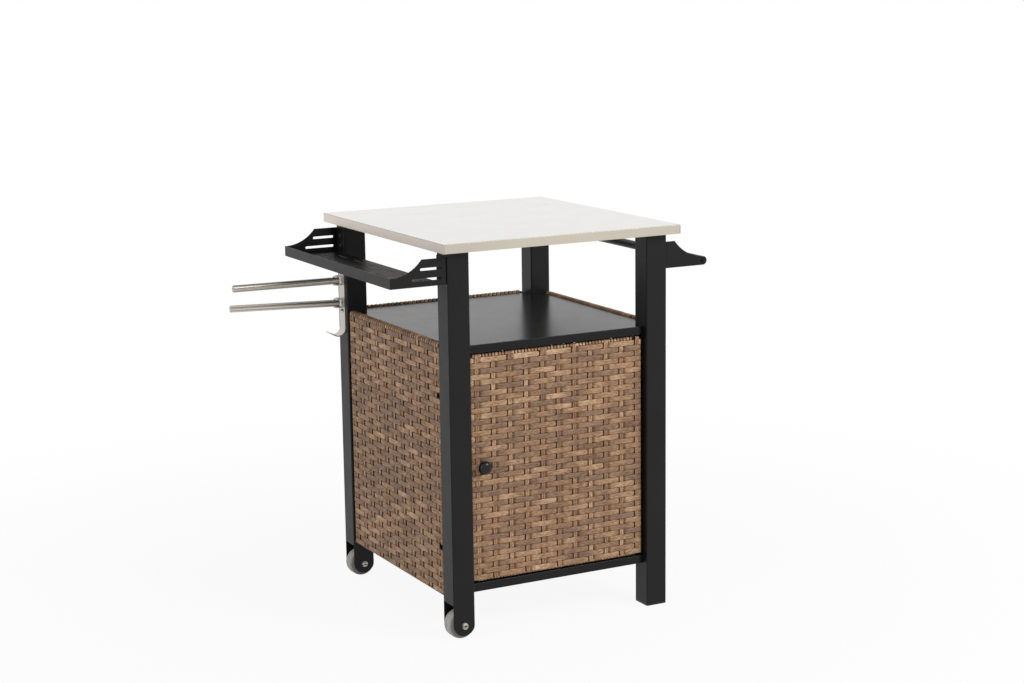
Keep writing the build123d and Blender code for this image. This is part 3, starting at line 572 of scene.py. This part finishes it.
# %% Browns of the cane
cane_browns = {
    0.0: (0.225, 0.130, 0.076, 1),
    1.0: (0.62, 0.410, 0.262, 1),
    0.26: (0.270, 0.172, 0.115, 1),
    0.5: (0.345, 0.205, 0.120, 1),
    0.76: (0.48, 0.300, 0.178, 1),
}
browns = add_node(cane_tree, "ShaderNodeValToRGB", {0: shade})
steps = browns.color_ramp.elements
# A new ramp already has a stop at each end, so the browns for the ends come first.
for step, (position, colour) in enumerate(cane_browns.items()):
    stop = steps[step] if step < 2 else steps.new(position)
    stop.position = position
    stop.color = colour
print("cane runs through", len(steps), "browns")

# %% Shades of the cane
line_middle = (0.28, 0.72)
line_shades = (0.6, 1.28)
sunk_dark = 0.12
edge_dark = 0.25
green_fall = 1.35
blue_fall = 1.75
line_roughness = (0.6, 0.44)
line_strength = 0.35
line_depth = 0.0003
line_shade = spread(cane_tree, lines, *line_middle, *line_shades)
# Painted shade: the colour darkens where a strand dives behind a stake, and along the sides of each strip.
sunk_shade = spread(cane_tree, woven_value("sunk"), 0.0, 1.0, 1.0, sunk_dark)
edge_shade = spread(cane_tree, woven_value("edge"), 0.0, 1.0, 1.0, edge_dark)
deep_shade = calculate(cane_tree, "MULTIPLY", edge_shade, sunk_shade)
full_shade = calculate(cane_tree, "MULTIPLY", line_shade, deep_shade)
shade_colour = add_node(
    cane_tree, "ShaderNodeCombineXYZ",
    {
        "X": full_shade, "Y": calculate(cane_tree, "POWER", full_shade, green_fall),
        "Z": calculate(cane_tree, "POWER", full_shade, blue_fall),
    },
)
cane_colour = vector_math(
    cane_tree, "MULTIPLY", {0: browns.outputs["Color"], 1: shade_colour.outputs[0]}
)
cane_rough = spread(cane_tree, lines, *noise_middle, *line_roughness)
cane_bump = add_node(
    cane_tree, "ShaderNodeBump", {"Height": lines, "Strength": line_strength, "Distance": line_depth}
)
fill_inputs(
    cane_tree, cane_shader,
    {"Base Color": cane_colour, "Roughness": cane_rough, "Normal": cane_bump.outputs[0]},
)
print("cane has", len(cane_tree.nodes), "nodes")


# %% [markdown]
# ## How a panel is woven
#
# Upright stakes, each a pair of flat strips, stand about 40 mm apart. Flat strands run across them, over
# one stake and under the next, and every second row starts the other way round. At the sides each strand
# turns round the steel bar to the back.
#
# Each strand could be modelled by hand, but a few guide lines describe them all: one strand that starts
# over, one that starts under, and their short versions that stop before a steel tab. Python lists their
# points in a panel's own axes: x along it, y the depth below its face. The points lie close together where
# a strand dives. A tree of nodes then sweeps a flat section along every guide and repeats it.

# %% Turn round an edge
panel_thick = 0.016
face_in = 0.0011
corner_bend = 0.0045
back_end = 0.0090
quarter_turn = [radians(angle) for angle in (0, 30, 60, 90)]


def wrap_round(edge, inward):
    """Points that take a strand from the face round an edge to the back. inward is +1 or -1."""
    bend = corner_bend
    front = edge + inward * (face_in + bend)
    back = panel_thick - face_in - bend
    points = [(front - inward * bend * sin(a), face_in + bend * (1 - cos(a))) for a in quarter_turn]
    points += [(front - inward * bend * cos(a), back + bend * sin(a)) for a in quarter_turn]
    points.append((edge + inward * back_end, panel_thick - face_in))
    return points


print("a strand turns round an edge in", len(wrap_round(0.0, 1)), "points")

# %% Strand depth
over_depth = 0.0008
under_depth = 0.0039
# Between these two depths a diving strand takes on painted shade.
sunk_from = 0.0013
sunk_to = 0.0026
tuck_width = 1.12
pinch = 0.24
pinch_ahead = 0.15


def dive(share, begin, end):
    """How far a strand has gone down, from 0 on the face to 1 behind a stake."""
    step = min(1.0, max(0.0, (share - begin) / (end - begin)))
    return step * step * (3 - 2 * step)


def strand_depth(down):
    """How deep below the panel's face a strand lies."""
    return over_depth + (under_depth - over_depth) * down


def strand_state(ahead, at_slit, slit):
    """A strand's depth, shade and width, at a share of its way from the face to behind a stake."""
    begin, end = slit["dive"] if at_slit else slit["far_dive"]
    down = dive(ahead, begin, end)
    narrow = pinch * dive(ahead, begin - pinch_ahead, end) * (1 - down) if at_slit else 0.0
    wide = 1 + (tuck_width - 1) * down - narrow
    depth = strand_depth(down)
    sunk = min(1.0, max(0.0, (depth - sunk_from) / (sunk_to - sunk_from)))
    return depth, sunk if at_slit else slit["far_shade"] * sunk, wide


print("strands lie", round((under_depth - over_depth) * 1000, 1), "mm deeper behind a stake")

# %% Strand paths
half_wave = (0.0, 0.40, 0.62, 0.66, 0.70, 0.74, 0.78, 0.82, 0.86, 0.90)
rising_wave = [0.0] + [1 - share for share in reversed(half_wave[1:])]
end_shares = (0.0, 0.15, 0.3, 0.45, 0.6, 0.8)
end_dive = (0.1, 0.62)
stake_tuck = 0.0040
notch_end = 0.0155
plain_end = 0.0030


def strand_end(inset, over, short, notched):
    """How far from the panel's edge a strand's flat part ends, and how deep it lies there."""
    if not short:
        return face_in + corner_bend, face_in
    if not notched:
        return plain_end, face_in
    return (notch_end, over_depth) if over else (inset - stake_tuck, under_depth)


def strand_line(width, stakes, insets, over_first, short, notches, slit):
    """A strand's path across a panel. A point is x and depth, or x, depth, lean, shade and width."""
    first, last = insets
    pitch = (width - first - last) / (stakes - 1)
    path = []
    for stake in range(stakes - 1):
        over = over_first == (stake % 2 == 0)
        at_slit = over == slit["before"]
        for share in half_wave if over else rising_wave:
            depth, shade_share, wide = strand_state(share if over else 1 - share, at_slit, slit)
            path.append((first + (stake + share) * pitch, depth, 0.0, shade_share, wide))
    over_last = over_first == (stakes % 2 == 1)
    path.append((width - last, strand_depth(0 if over_last else 1)))
    ends = []
    for inset, over, notched in ((first, over_first, notches[0]), (last, over_last, notches[1])):
        tip, tip_depth = strand_end(inset, over, short, notched)
        run, fall = inset - tip, strand_depth(0 if over else 1) - tip_depth
        ends.append([(tip + run * s, tip_depth + fall * dive(s, *end_dive)) for s in end_shares])
    path = ends[0] + path + [(width - x, depth) for x, depth in reversed(ends[1])]
    if short:
        return path
    return wrap_round(0.0, 1)[:0:-1] + path + wrap_round(width, -1)[1:]


print("a strand has", len(half_wave), "points from stake to stake")

# %% [markdown]
# ## Stakes, straps and the lower edge
#
# Every second stake folds over the panel's top edge, and short slanted straps are wound between these
# folds. On the door the other stakes fold round the lower edge, with straps of their own. The fixed
# panels have a bent strip along that edge instead. Stakes and straps could be drawn standing, but lying
# along x they share the strands' turn round an edge, and the tree sets them upright.

# %% Stake and strap paths
stake_depth = 0.00235
stake_lean = -0.0060
strap_lean = -0.0065
strap_rise_share = 0.6
strap_rise = 0.002
strap_sink = 0.0003


def stake_line(height, foot, head, over_top, over_bottom):
    """A stake's path. An end folds over its edge or is tucked behind the last strand."""
    bottom = [(foot - stake_tuck, stake_depth)]
    if over_bottom:
        bottom = wrap_round(0.0, 1)[::-1]
    top = [(height - head + stake_tuck, stake_depth)]
    if over_top:
        turn = wrap_round(height, -1)
        top = [(x, y, stake_lean * (step + 1) / len(turn)) for step, (x, y) in enumerate(turn)]
    low, high = foot + stake_tuck, height - head - stake_tuck
    return bottom + [(x, stake_depth) for x in (low, height / 2, high)] + top


def strap_line(drop):
    """A strap's path: from drop below the edge up the face, then over the edge and down the back."""
    path = wrap_round(0.0, -1)
    if drop:
        rise = [(-drop, stake_depth), (-strap_rise_share * drop - strap_rise, face_in + strap_sink)]
        path = rise + path
    return [(x, y, strap_lean * step / (len(path) - 1)) for step, (x, y) in enumerate(path)]


print("stakes lie", stake_depth * 1000, "mm deep")

# %% Sections
strip_crown = ((-1.0, 0.22), (-0.8, 0.78), (0.0, 1.0), (0.8, 0.78), (1.0, 0.22))
binding_rise = 0.0032
binding_thick = 0.0010
binding_in = 0.0002
binding_bend = 0.0004
# How much painted shade a strip's edges get: some on strands and on a stake's far side, full on a stake's
# slit side and on straps, less at the seam between a stake's two strips.
soft_dark, full_dark, seam_dark = 0.5, 1.0, 0.4


def flat_section(width, thick, offset=0.0, dark=(soft_dark, soft_dark)):
    """A flat strip's outline, crowned on both sides. dark is how much painted shade its two edges get."""
    shades = (dark[0], 0, 0, 0, dark[1])
    half = [
        (across * width / 2, rise * thick / 2, shade_share)
        for (across, rise), shade_share in zip(strip_crown, shades)
    ]
    outline = half + [(across, -rise, shade_share) for across, rise, shade_share in reversed(half)]
    return [(rise, across + offset, 0.0, shade_share) for across, rise, shade_share in outline]


def binding_section():
    """A strip bent round a lower edge. Sweeping gives a section half a turn, so both signs swap."""
    front, back, bend = binding_in, panel_thick - binding_in, binding_bend
    thick, rise, back_rise = binding_thick, binding_rise, 2 * binding_rise
    outside = [
        (front, rise), (front, bend), (front + bend, 0.0),
        (back - bend, 0.0), (back, bend), (back, back_rise),
    ]
    inside = [
        (back - thick, back_rise), (back - thick, thick), (front + thick, thick), (front + thick, rise),
    ]
    return [(-depth, -height) for depth, height in outside + inside]


print("a strip has", 2 * len(strip_crown), "points round it")

# %% [markdown]
# ## The guides as one mesh
#
# A modifier works on one object, so all guides and sections of a panel go into one mesh of loose edges.
# Each point carries four numbers: "kind" says which guide it belongs to, "wide" how wide the strip is
# there, and "sunk" and "edge" how much painted shade it gets. Of the last two, the tree keeps "sunk" for
# lines and "edge" for sections. Curve objects could hold the lines too, but a mesh keeps such numbers on
# its points.

# %% Guide mesh
OVER, UNDER, OVER_SHORT, UNDER_SHORT, STAKE_UP, STAKE_DOWN, STRAP, BINDING = range(8)
STRAND_SECTION, STAKE_SECTION, STRAP_SECTION, BINDING_SECTION = range(10, 14)
plain_point = (0.0, 0.0, 1.0)


def guide_mesh(name, guides):
    """One mesh of loose edges. A guide is its kind and its points. Lines stay open, sections close."""
    points, edges, kinds, shades, widths = [], [], [], [], []
    for kind, path in guides:
        begin = len(points)
        for point in path:
            x, y, lean, shade_share, wide = (*point, *plain_point[len(point) - 2:])
            points.append((x, y, lean))
            kinds.append(kind)
            shades.append(shade_share)
            widths.append(wide)
        edges += [(begin + i, begin + i + 1) for i in range(len(path) - 1)]
        if kind >= STRAND_SECTION:
            edges.append((len(points) - 1, begin))
    mesh = bpy.data.meshes.new(name)
    mesh.from_pydata(points, edges, [])
    mesh.attributes.new("kind", "INT", "POINT").data.foreach_set("value", kinds)
    for label, values in (("sunk", shades), ("edge", shades), ("wide", widths)):
        mesh.attributes.new(label, "FLOAT", "POINT").data.foreach_set("value", values)
    return mesh


print("guides have", BINDING + 1, "kinds of line")

# %% [markdown]
# ## The weave tree
#
# Every guide takes the same road: pick its points by "kind", turn them into a curve, sweep a section
# along it, and set copies of it on a row of points. Strands climb the panel, stakes march along it, and
# straps sit between the stakes. Python could copy the pieces too, but a tree of nodes is faster, and with
# its sizes as named inputs one tree serves all four panels.

# %% Tree inputs
weave_tree = bpy.data.node_groups.new("weave", "GeometryNodeTree")
weave_tree.is_modifier = True
weave_tree.interface.new_socket("Geometry", in_out="INPUT", socket_type="NodeSocketGeometry")
weave_inputs = {
    "NodeSocketFloat": (
        "Width", "Height", "First Row", "Row Pitch", "First Stake", "Stake Pitch", "Strap Gap At",
        "Strap Gap", "Wobble",
    ),
    "NodeSocketInt": ("Rows", "Stakes", "Straps Per Stake", "Lower Tab Row", "Upper Tab Row", "Seed"),
    "NodeSocketBool": ("Lower Straps", "Pale Edge Rows"),
    "NodeSocketMaterial": ("Cane",),
}
for kind, labels in weave_inputs.items():
    for label in labels:
        weave_tree.interface.new_socket(label, in_out="INPUT", socket_type=kind)
weave_tree.interface.new_socket("Geometry", in_out="OUTPUT", socket_type="NodeSocketGeometry")
given = weave_tree.nodes.new("NodeGroupInput").outputs
print("weave tree takes", len(given) - 1, "inputs")


# %% Tree helpers
def weave_step(kind, inputs=None, **options):
    """Make a node in the weave tree, and hand back its first output."""
    return add_node(weave_tree, kind, inputs, **options).outputs[0]


def work_out(operation, *values):
    """Arithmetic in the weave tree."""
    return calculate(weave_tree, operation, *values)


def whole_is(first, second):
    """True where two whole numbers are the same."""
    inputs = {2: first, 3: second}
    return weave_step("FunctionNodeCompare", inputs, data_type="INT", operation="EQUAL")


def logic(operation, *values):
    """True and false joined by AND, OR or NOT."""
    return weave_step("FunctionNodeBooleanMath", dict(enumerate(values)), operation=operation)


def place_at(**axes):
    """A place or a step, from one or two of its X, Y and Z."""
    return weave_step("ShaderNodeCombineXYZ", axes)


def point_row(count, start, step):
    """A straight row of points, on which copies are set."""
    inputs = {"Count": count, "Start Location": start, "Offset": step}
    return weave_step("GeometryNodeMeshLine", inputs, mode="OFFSET")


def stored(name, kind):
    """A number that the guides' points carry."""
    return weave_step("GeometryNodeInputNamedAttribute", {"Name": name}, data_type=kind)


def without(geometry, name):
    """Geometry that no longer carries a number."""
    return weave_step("GeometryNodeRemoveAttribute", {"Geometry": geometry, "Name": name})


print("tree helpers ready")

# %% Sweeping a guide
guide_kind = stored("kind", "INT")


def guide_curve(kind):
    """The guides of one kind, as curves."""
    inputs = {0: given["Geometry"], 1: whole_is(guide_kind, kind)}
    picked = weave_step("GeometryNodeSeparateGeometry", inputs, domain="POINT")
    return weave_step("GeometryNodeMeshToCurve", {"Mesh": picked})


section_kinds = (STRAND_SECTION, STAKE_SECTION, STRAP_SECTION, BINDING_SECTION)
sections = {kind: without(guide_curve(kind), "sunk") for kind in section_kinds}
guide_width = stored("wide", "FLOAT")


def swept(kind, section):
    """A guide swept by its section: the guide gives "sunk" and the width, the section gives "edge"."""
    line = without(guide_curve(kind), "edge")
    inputs = {
        "Curve": weave_step("GeometryNodeSetCurveNormal", {"Curve": line}, mode="Z_UP"),
        "Profile Curve": sections[section],
        "Scale": guide_width,
        "Fill Caps": True,
    }
    return weave_step("GeometryNodeCurveToMesh", inputs)


print("the tree knows", len(sections), "sections")

# %% Copies with a tone of their own
pale_tone = 0.84


def store(points, name, value):
    """Keep a number on each point, which its copies then carry."""
    inputs = {"Geometry": points, "Name": name, "Value": value}
    return weave_step("GeometryNodeStoreNamedAttribute", inputs, data_type="FLOAT", domain="POINT")


def set_copies(points, piece, chosen, turn, tones, standing, seed_step, pale=None):
    """Copies of a piece on the chosen points, each with its own tone. Pale ones share one tone."""
    inputs = {2: tones[0], 3: tones[1], "Seed": work_out("ADD", given["Seed"], seed_step)}
    own_tone = add_node(weave_tree, "FunctionNodeRandomValue", inputs, data_type="FLOAT").outputs[1]
    if pale is not None:
        inputs = {0: pale, 1: own_tone, 2: pale_tone}
        own_tone = weave_step("GeometryNodeSwitch", inputs, input_type="FLOAT")
    marked = store(store(points, "tone", own_tone), "standing", standing)
    inputs = {"Points": marked, "Selection": chosen, "Instance": piece, "Rotation": (0, turn, 0)}
    return weave_step("GeometryNodeInstanceOnPoints", inputs)


print("edge rows take tone", pale_tone)

# %% Rows of strands
strand_tones = (0.3, 0.73)
pieces = []
index = weave_step("GeometryNodeInputIndex")
row_points = point_row(given["Rows"], place_at(Z=given["First Row"]), place_at(Z=given["Row Pitch"]))
odd = whole_is(work_out("MODULO", index, 2.0), 1)
even = logic("NOT", odd)
tab_row = logic("OR", whole_is(index, given["Lower Tab Row"]), whole_is(index, given["Upper Tab Row"]))
full_row = logic("NOT", tab_row)
last_row = work_out("SUBTRACT", given["Rows"], 1.0)
edge_row = logic("OR", whole_is(index, 0), whole_is(index, last_row))
pale_row = logic("AND", edge_row, given["Pale Edge Rows"])
for kind, start_side, length_kind in (
    (OVER, even, full_row), (UNDER, odd, full_row),
    (OVER_SHORT, even, tab_row), (UNDER_SHORT, odd, tab_row),
):
    chosen = logic("AND", start_side, length_kind)
    strand = swept(kind, STRAND_SECTION)
    pieces.append(set_copies(row_points, strand, chosen, 0.0, strand_tones, 0.0, kind, pale_row))
print("strands of", len(pieces), "kinds")

# %% Stakes
stake_tones = (0.42, 0.8)
upright_turn = -pi / 2
stake_start, stake_step = place_at(X=given["First Stake"]), place_at(X=given["Stake Pitch"])
stake_points = point_row(given["Stakes"], stake_start, stake_step)
for kind, chosen in ((STAKE_UP, even), (STAKE_DOWN, odd)):
    stake = swept(kind, STAKE_SECTION)
    pieces.append(set_copies(stake_points, stake, chosen, upright_turn, stake_tones, 1.0, kind))
print("with stakes", len(pieces), "kinds")

# %% Straps
strap_tones = (0.45, 0.9)
near_room, far_room = 0.0052, 0.0105
top_seed, bottom_seed = 20, 21
per_stake = given["Straps Per Stake"]
per_pair = work_out("MULTIPLY", per_stake, 2.0)
strap_pitch = work_out("DIVIDE", given["Stake Pitch"], per_stake)
strap_count = work_out("MULTIPLY", work_out("ADD", given["Stakes"], 1.0), per_stake)
strap_start = work_out("SUBTRACT", given["First Stake"], given["Stake Pitch"])
strap_x = axis_values(weave_tree, weave_step("GeometryNodeInputPosition"))["X"]
from_gap = work_out("ABSOLUTE", work_out("SUBTRACT", strap_x, given["Strap Gap At"]))
clear = work_out("GREATER_THAN", from_gap, given["Strap Gap"])
for edge_height, turn, rooms, fold_step, wanted, seed_step in (
    (given["Height"], upright_turn, (near_room, far_room), per_stake, True, top_seed),
    (0.0, -upright_turn, (far_room, near_room), 0.0, given["Lower Straps"], bottom_seed),
):
    past_fold = work_out("MODULO", work_out("ADD", index, fold_step), per_pair)
    off_fold = logic("NOT", whole_is(past_fold, 0))
    past_start = work_out("GREATER_THAN", strap_x, rooms[0])
    before_end = work_out("LESS_THAN", strap_x, work_out("SUBTRACT", given["Width"], rooms[1]))
    inside = logic("AND", past_start, before_end)
    chosen = logic("AND", logic("AND", logic("AND", off_fold, inside), clear), wanted)
    first_strap = place_at(X=strap_start, Z=edge_height)
    strap_points = point_row(strap_count, first_strap, place_at(X=strap_pitch))
    strap = swept(STRAP, STRAP_SECTION)
    pieces.append(set_copies(strap_points, strap, chosen, turn, strap_tones, 1.0, seed_step))
print("with straps", len(pieces), "kinds")

# %% Binding of the lower edge
binding_tones = (0.3, 0.36)
binding_seed = 22
binding_point = point_row(1, (0, 0, 0), (0, 0, 0))
binding = swept(BINDING, BINDING_SECTION)
pieces.append(set_copies(binding_point, binding, True, 0.0, binding_tones, 0.0, binding_seed))
print("with the binding", len(pieces), "kinds")

# %% [markdown]
# ## Loosen and finish the weave
#
# A woven panel is never as straight as a drawing. The wobble could be drawn into each guide, but then all
# its copies would bend alike. So the copies are first made real, and noise then shifts every point a
# little, most across the strands and least in depth. Last, the cane is put on.

# %% Join, loosen and dress
wobble_scale = 26.0
wobble_axes = (0.6, 0.25, 1.0)
noise_mean = (0.5, 0.5, 0.5)
joined = weave_tree.nodes.new("GeometryNodeJoinGeometry")
for piece in pieces:
    weave_tree.links.new(piece, joined.inputs[0])
real = weave_step("GeometryNodeRealizeInstances", {0: joined.outputs[0]})
wobble_inputs = {"Scale": wobble_scale, "Detail": 1.0, "W": given["Seed"]}
wobble_noise = add_node(weave_tree, "ShaderNodeTexNoise", wobble_inputs, noise_dimensions="4D")
centred = vector_math(weave_tree, "SUBTRACT", {0: wobble_noise.outputs["Color"], 1: noise_mean})
unlevel = vector_math(weave_tree, "MULTIPLY", {0: centred, 1: wobble_axes})
shift = vector_math(weave_tree, "SCALE", {0: unlevel, "Scale": given["Wobble"]})
loosened = weave_step("GeometryNodeSetPosition", {"Geometry": real, "Offset": shift})
smooth = weave_step("GeometryNodeSetShadeSmooth", {"Geometry": loosened})
caned = weave_step("GeometryNodeSetMaterial", {"Geometry": smooth, "Material": given["Cane"]})
add_node(weave_tree, "NodeGroupOutput", {"Geometry": caned})
print("weave tree has", len(weave_tree.nodes), "nodes")


# %% [markdown]
# ## Weaving the panels and the door
#
# Each panel sits where its CAD skin is. Its own axes are width, depth and height, so a small matrix
# carries the finished mesh to its place. The tree could stay on each piece as a live modifier. Here its
# result is kept as a plain mesh and the guides go, so that the piece is the same wherever it is used.

# %% A panel's guides
strand_thick = 0.0014
strand_share = 0.995
stake_thick = 0.0015
stake_strip = 0.0047
stake_spread = 0.00235
strap_thick = 0.0020
strap_share = 0.78
binding_end = 0.0012


def panel_guides(width, height, row_pitch, stake_pitch, layout):
    """All the guide lines and sections of one panel."""
    slit, foot, head = layout["slit"], layout["first_row"], layout["last_row"]
    stakes, insets, notches = layout["stakes"], layout["insets"], layout["notches"]
    # A stake's edge on the slit side gets full painted shade, its other edge less.
    near_dark, far_dark = (full_dark, soft_dark) if slit["before"] else (soft_dark, full_dark)
    strap_width = strap_share * stake_pitch / layout["straps"]
    guides = []
    for kind, over_first, short in (
        (OVER, True, False), (UNDER, False, False), (OVER_SHORT, True, True), (UNDER_SHORT, False, True),
    ):
        guides.append((kind, strand_line(width, stakes, insets, over_first, short, notches, slit)))
    near_strip = flat_section(stake_strip, stake_thick, -stake_spread, (near_dark, seam_dark))
    far_strip = flat_section(stake_strip, stake_thick, stake_spread, (seam_dark, far_dark))
    guides += [
        (STAKE_UP, stake_line(height, foot, head, True, False)),
        (STAKE_DOWN, stake_line(height, foot, head, False, not layout["bound"])),
        (STRAP, strap_line(layout["drop"])),
        (STRAND_SECTION, flat_section(strand_share * row_pitch, strand_thick)),
        (STAKE_SECTION, near_strip),
        (STAKE_SECTION, far_strip),
        (STRAP_SECTION, flat_section(strap_width, strap_thick, 0.0, (full_dark, full_dark))),
        (BINDING_SECTION, binding_section()),
    ]
    if layout["bound"]:
        along_edge = (binding_end, width / 2, width - binding_end)
        guides.append((BINDING, [(x, 0.0) for x in along_edge]))
    return guides


print("a strand leaves", round((1 - strand_share) * 100, 1), "percent of its row open")


# %% From guides to a mesh
def woven_mesh(name, guides, values):
    """Run the weave tree on a panel's guides, and keep the result as a plain mesh."""
    maker = bpy.data.objects.new(name + "_guides", guide_mesh(name + "_guides", guides))
    scene.collection.objects.link(maker)
    modifier = maker.modifiers.new("weave", "NODES")
    modifier.node_group = weave_tree
    for socket in weave_tree.interface.items_tree:
        if socket.in_out == "INPUT" and socket.name in values:
            modifier[socket.identifier] = values[socket.name]
    depsgraph = bpy.context.evaluated_depsgraph_get()
    mesh = bpy.data.meshes.new_from_object(maker.evaluated_get(depsgraph))
    mesh.name = name
    bpy.data.objects.remove(maker)
    return mesh


def panel_place(low, high, along_axis, inward_axis):
    """The matrix that carries a panel's width, depth and height to the cart's axes."""
    way = along_axis + inward_axis
    corner = Vector((low.x if way.x > 0 else high.x, low.y if way.y > 0 else high.y, low.z))
    axes = Matrix((along_axis, inward_axis, Vector((0, 0, 1)))).transposed().to_4x4()
    return Matrix.Translation(corner) @ axes


print("panels can be woven")

# %% Weave a panel
wobble = 0.0011
pin_room = 0.010


def woven(name, node, body, along_axis, inward_axis, **layout):
    """Weave a panel in the box of its CAD skin, and let it stand for that node.

    The layout says how many rows, stakes and straps it has, and how far they are from its edges.
    """
    low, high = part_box(node)
    along_axis, inward_axis = Vector(along_axis), Vector(inward_axis)
    width, height = abs((high - low).dot(along_axis)), (high - low).z
    rows, stakes, insets, bound = (layout[key] for key in ("rows", "stakes", "insets", "bound"))
    row_pitch = (height - layout["first_row"] - layout["last_row"]) / (rows - 1)
    stake_pitch = (width - insets[0] - insets[1]) / (stakes - 1)
    values = {
        "Width": width, "Height": height, "Rows": rows, "First Row": layout["first_row"],
        "Row Pitch": row_pitch, "Stakes": stakes, "First Stake": insets[0], "Stake Pitch": stake_pitch,
        "Straps Per Stake": layout["straps"], "Strap Gap At": layout["gap_at"], "Strap Gap": pin_room,
        "Lower Tab Row": layout["tab_rows"][0], "Upper Tab Row": layout["tab_rows"][1],
        "Lower Straps": not bound, "Pale Edge Rows": not bound,
        "Wobble": wobble, "Seed": layout["seed"], "Cane": cane,
    }
    mesh = woven_mesh(name, panel_guides(width, height, row_pitch, stake_pitch, layout), values)
    mesh.transform(panel_place(low, high, along_axis, inward_axis))
    piece = bpy.data.objects.new(name, mesh)
    scene.collection.objects.link(piece)
    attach(piece, body)
    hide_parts(node)
    triangles = sum(len(p.vertices) - 2 for p in mesh.polygons)
    print(name, "rows", rows, "stakes", stakes, "triangles", triangles)


print("straps stay", pin_room * 1000, "mm off a hinge pin")

# %% [markdown]
# ## Layout of the four panels
#
# The fixed panels are alike, apart from their stakes and from the side where steel tabs notch them. On the
# real weave a shadowed slit shows on one side of each stake, where strands dive behind it, and a fainter
# one on the other. Here the slit side has its own dive and its slit gets painted shade, with fainter
# painted shade on the other side, so each panel says on which side its slits are. The door has its own
# rows, straps along both edges, and room between them for the hinge pins. Each panel could have a tree of
# its own, but one list of values for each is easier to compare.

# %% Fixed panels
no_gap = -1.0
# dive is where strands dive on the slit side, far_dive on the other; far_shade is the share of painted
# shade on that other side.
door_slit = {"before": True, "dive": (0.76, 0.87), "far_dive": (0.66, 0.87), "far_shade": 0.42}
side_slit = {"before": False, "dive": (0.64, 0.77), "far_dive": (0.74, 0.88), "far_shade": 0.7}
panel_layout = dict(
    rows=44, first_row=0.0065, last_row=0.0162, tab_rows=(8, 35), straps=4, drop=0.0105, gap_at=no_gap,
    bound=True,
)
woven(
    "left_panel_cane", "left_panel_weave", "cart", (0, -1, 0), (1, 0, 0),
    stakes=11, insets=(0.019, 0.022), notches=(False, True), slit=side_slit, seed=11, **panel_layout,
)
woven(
    "right_panel_cane", "right_panel_weave", "cart", (0, 1, 0), (-1, 0, 0),
    stakes=11, insets=(0.022, 0.019), notches=(True, False), slit={**side_slit, "before": True}, seed=23,
    **panel_layout,
)
woven(
    "rear_panel_cane", "rear_panel_weave", "cart", (-1, 0, 0), (0, -1, 0),
    stakes=10, insets=(0.020, 0.020), notches=(False, False), slit=door_slit, seed=37, **panel_layout,
)

# %% Door
no_tabs = (-1, -1)
pin_inset = 0.018
door_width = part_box("door_weave")[1].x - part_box("door_weave")[0].x
woven(
    "door_cane", "door_weave", "door", (1, 0, 0), (0, 1, 0),
    rows=40, first_row=0.0095, last_row=0.0122, tab_rows=no_tabs, straps=5, drop=0.0,
    gap_at=door_width - pin_inset, bound=False,
    stakes=11, insets=(0.018, 0.013), notches=(False, False), slit=door_slit, seed=5,
)
